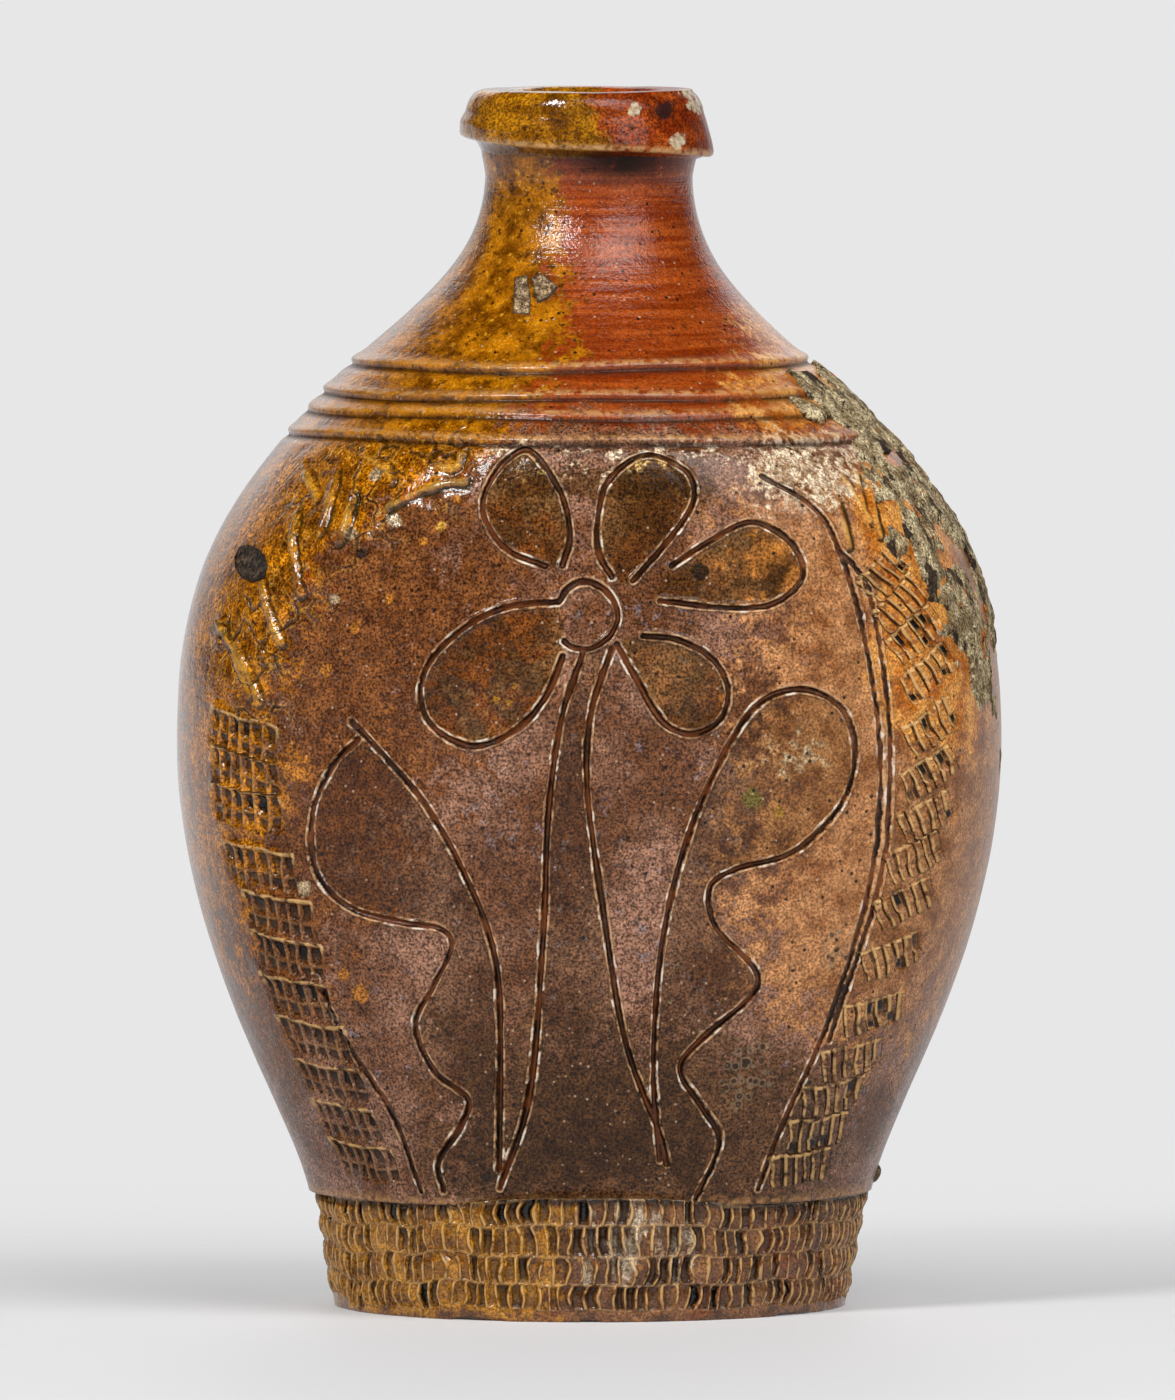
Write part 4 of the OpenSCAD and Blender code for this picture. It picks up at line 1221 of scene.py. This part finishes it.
def caught_chips():
    """Flat shards on the neck, the dark grain on the left shoulder and the blob over the foot."""
    bm = bmesh.new()
    pale, edge = [], []
    for corners, proud, paleness in CHIPS:
        corners = np.array(corners)
        rim = on_front(corners[:, 0], corners[:, 1])
        out = np.cross(rim[0] - rim[2], rim[1] - rim[3])
        out *= np.sign(out @ (rim[0] * np.array([1, 1, 0]))) / np.linalg.norm(out)
        verts = [bm.verts.new(point - 0.8 * out) for point in rim]
        face = bmesh.ops.contextual_create(bm, geom=verts)["faces"][0]
        lifted = bmesh.ops.extrude_face_region(bm, geom=[face])["geom"]
        top = [g for g in lifted if isinstance(g, bmesh.types.BMVert)]
        bmesh.ops.translate(bm, verts=top, vec=Vector(out * (0.8 + proud)))
        top_face = next(g for g in lifted if isinstance(g, bmesh.types.BMFace))
        bmesh.ops.inset_region(bm, faces=[top_face], thickness=0.35, depth=0.15, use_even_offset=True)
        pale += [paleness] * (len(bm.verts) - len(pale))
        bm.verts.index_update()
        inner = {v.index for v in top_face.verts}
        edge += [0.0 if n in inner else 1.0 for n in range(len(edge), len(bm.verts))]
    turn, height, size = math.radians(SEAM_BLOB[0]), SEAM_BLOB[1], SEAM_BLOB[2]
    blob = bmesh.ops.create_icosphere(bm, subdivisions=3, radius=size)["verts"]
    ball = np.array([v.co for v in blob])
    ball *= (1 + 0.25 * lumps(ball + 20, 1.6, 41))[:, None]
    for vert, offset in zip(blob, ball):
        vert.co = offset + on_skin(turn, height) - at(turn, 0.0, 0.9)
    pale += [0.6] * len(blob)
    edge += [0.0] * len(blob)
    bmesh.ops.recalc_face_normals(bm, faces=bm.faces)
    marks = {"pale": np.array(pale), "edge": np.array(edge)}
    return finished(bm, "caught_chips", kiln_grit(), "flask", ["kiln_chips"], marks)


def cork_bark():
    """Pale cork with dark pores."""
    f = Finish("cork")
    patch, grain = f.noise(3, 4, 0.6), f.noise(0.6, 3, 0.6)
    colour = f.mix(linear(150, 108, 68), linear(196, 156, 110), f.between(patch, 0.36, 0.64))
    pores = f.between(f.noise(1.6, 3, 0.7, stretch=(1, 1, 0.4), shift=2.0), 0.6, 0.68)
    colour = f.mix(colour, linear(78, 48, 28), pores)
    grained = f.mix((0.7, 0.66, 0.6, 1), (1.15, 1.15, 1.15, 1), f.between(grain, 0.35, 0.65))
    colour = f.multiply(colour, grained, 0.7)
    rough = f.bump(f.minus(grain, pores), 0.25)
    return f.done(colour, f.between(grain, -2.5, 1.0), rough)


def cork_stopper():
    """The cork, a little smaller at its lower end, with worn edges and pores."""
    top_r, bottom_r, worn = CORK_HIGH.x, CORK_HIGH.x - 1.0, 0.8
    low, high = CORK_LOW.z, CORK_HIGH.z
    side = [
        (bottom_r + (top_r - bottom_r) * t, low + worn + (high - low - 2 * worn) * t)
        for t in np.linspace(0, 1, 28)
    ]
    lower = [(r, low) for r in np.linspace(0, bottom_r - worn, 9)]
    upper = [(r, high) for r in np.linspace(top_r - worn, 0, 9)]
    bm = spun(lower + side + upper, 96)
    raw = coordinates(bm)
    pitted = -0.35 * ease(lumps(raw, 1.8, 51), 0.35, 0.7) - 0.05
    inward = np.array([0, 0, (low + high) / 2]) - raw
    inward /= np.linalg.norm(inward, axis=1)[:, None]
    place(bm, raw - inward * pitted[:, None])
    return finished(bm, "cork_stopper", cork_bark(), "cork", ["cork"])


# Half the floor's width, and from where to where along y it fades into the background, in metres
FLOOR_HALF = 2.0
FADE_START = -0.12
FADE_END = 0.28
BACKGROUND = linear(231, 231, 232)


def floor():
    """A pale floor that fades into the background behind the flask."""
    bm = bmesh.new()
    bmesh.ops.create_grid(bm, x_segments=8, y_segments=8, size=FLOOR_HALF)
    mesh = bpy.data.meshes.new("floor")
    bm.to_mesh(mesh)
    bm.free()
    ground = bpy.data.objects.new("floor", mesh)
    bpy.context.scene.collection.objects.link(ground)
    f = Finish("pale_floor")
    depth = f.add("ShaderNodeSeparateXYZ", {0: f.place}).outputs["Y"]
    f.put(f.shader.inputs["Base Color"], f.mix(linear(232, 232, 233), linear(226, 226, 227), f.noise(300, 2)))
    f.shader.inputs["Roughness"].default_value = 0.6
    f.shader.inputs["Specular IOR Level"].default_value = 0.2
    clear = f.add("ShaderNodeBsdfTransparent")
    behind = f.between(depth, FADE_START, FADE_END)
    fade = f.add("ShaderNodeMixShader", {0: behind, 1: f.shader.outputs[0], 2: clear.outputs[0]})
    f.links.new(fade.outputs[0], f.nodes["Material Output"].inputs["Surface"])
    mesh.materials.append(f.material)


# The camera's place, the point that it is aimed at and the picture's scale, in metres
CAMERA_BACK = 4.5
CAMERA_H = 0.338
AIM_H = 0.0945
CAMERA_SIDE = -0.0003
PIXELS_PER_METRE = 6400.0
IMAGE_H = 1400.0


def camera():
    """A long lens, a little above the flask's shoulder and aimed at its middle."""
    lens = bpy.data.cameras.new("camera")
    eye = bpy.data.objects.new("camera", lens)
    bpy.context.scene.collection.objects.link(eye)
    eye.location = (CAMERA_SIDE, -CAMERA_BACK, CAMERA_H)
    sight = Vector((CAMERA_SIDE, 0, AIM_H)) - eye.location
    eye.rotation_euler = sight.to_track_quat("-Z", "Y").to_euler()
    lens.sensor_fit = "VERTICAL"
    lens.sensor_height = 36.0
    lens.lens = PIXELS_PER_METRE * sight.length / IMAGE_H * lens.sensor_height
    bpy.context.scene.camera = eye


def lamp(name, place_at, aim, size, power):
    light = bpy.data.lights.new(name, "AREA")
    light.shape = "ELLIPSE"
    light.size, light.size_y = size
    light.energy = power
    holder = bpy.data.objects.new(name, light)
    bpy.context.scene.collection.objects.link(holder)
    holder.location = place_at
    holder.rotation_euler = (Vector(aim) - Vector(place_at)).to_track_quat("-Z", "Y").to_euler()


def studio():
    """Soft light: a small lamp at the upper left, a broad one at the right, one above, and a pale room."""
    aim = (0, 0, 0.1)
    lamp("key_box", (-0.95, -1.45, 1.6), aim, (0.5, 0.66), 33.5)
    lamp("fill_box", (1.2, -1.25, 1.6), aim, (1.9, 1.9), 26)
    lamp("top_box", (0.5, -1.1, 1.95), aim, (1.5, 1.2), 12.5)
    world = bpy.data.worlds.new("pale_room")
    bpy.context.scene.world = world
    world.use_nodes = True
    nodes, links = world.node_tree.nodes, world.node_tree.links
    coords = nodes.new("ShaderNodeTexCoord")
    parts = nodes.new("ShaderNodeSeparateXYZ")
    links.new(coords.outputs["Generated"], parts.inputs[0])

    def ramp(axis, start, stop, least, most):
        band = nodes.new("ShaderNodeMapRange")
        for socket, value in (("From Min", start), ("From Max", stop), ("To Min", least), ("To Max", most)):
            band.inputs[socket].default_value = value
        links.new(parts.outputs[axis], band.inputs["Value"])
        return band.outputs[0]

    def math_node(operation, first, second):
        node = nodes.new("ShaderNodeMath")
        node.operation = operation
        links.new(first, node.inputs[0])
        links.new(second, node.inputs[1])
        return node.outputs[0]

    def mixed(share, first, second):
        node = nodes.new("ShaderNodeMixShader")
        for socket, source in zip(node.inputs, (share, first, second)):
            links.new(source, socket)
        return node.outputs[0]

    # The room is dark in front, and has a lit wall low behind the flask
    wall = math_node("MULTIPLY", ramp("Z", 0.7, 0.45, 0, 1), ramp("Z", 0, 0.3, 0.25, 1))
    room = nodes["Background"]
    room.inputs["Color"].default_value = (1, 1, 1, 1)
    links.new(math_node("MULTIPLY", wall, ramp("Y", 0.7, 0.9, 0.04, 1.5)), room.inputs["Strength"])
    # Behind the flask the eye sees plain pale grey, and the glaze mirrors it at the horizon and below
    pale = nodes.new("ShaderNodeBackground")
    pale.inputs["Color"].default_value = BACKGROUND
    mirrored = mixed(ramp("Z", 0.05, 0, 0, 1), room.outputs[0], pale.outputs[0])
    path = nodes.new("ShaderNodeLightPath").outputs
    around = mixed(path["Is Glossy Ray"], room.outputs[0], mirrored)
    straight = math_node("MAXIMUM", path["Is Camera Ray"], path["Is Transmission Ray"])
    links.new(mixed(straight, around, pale.outputs[0]), nodes["World Output"].inputs["Surface"])


camera()
flask_wall()
lip_roll()
coggled_strap()
slag_crust()
caught_chips()
cork_stopper()
floor()
studio()
bpy.context.scene.view_settings.view_transform = "Standard"

bpy.context.view_layer.update()
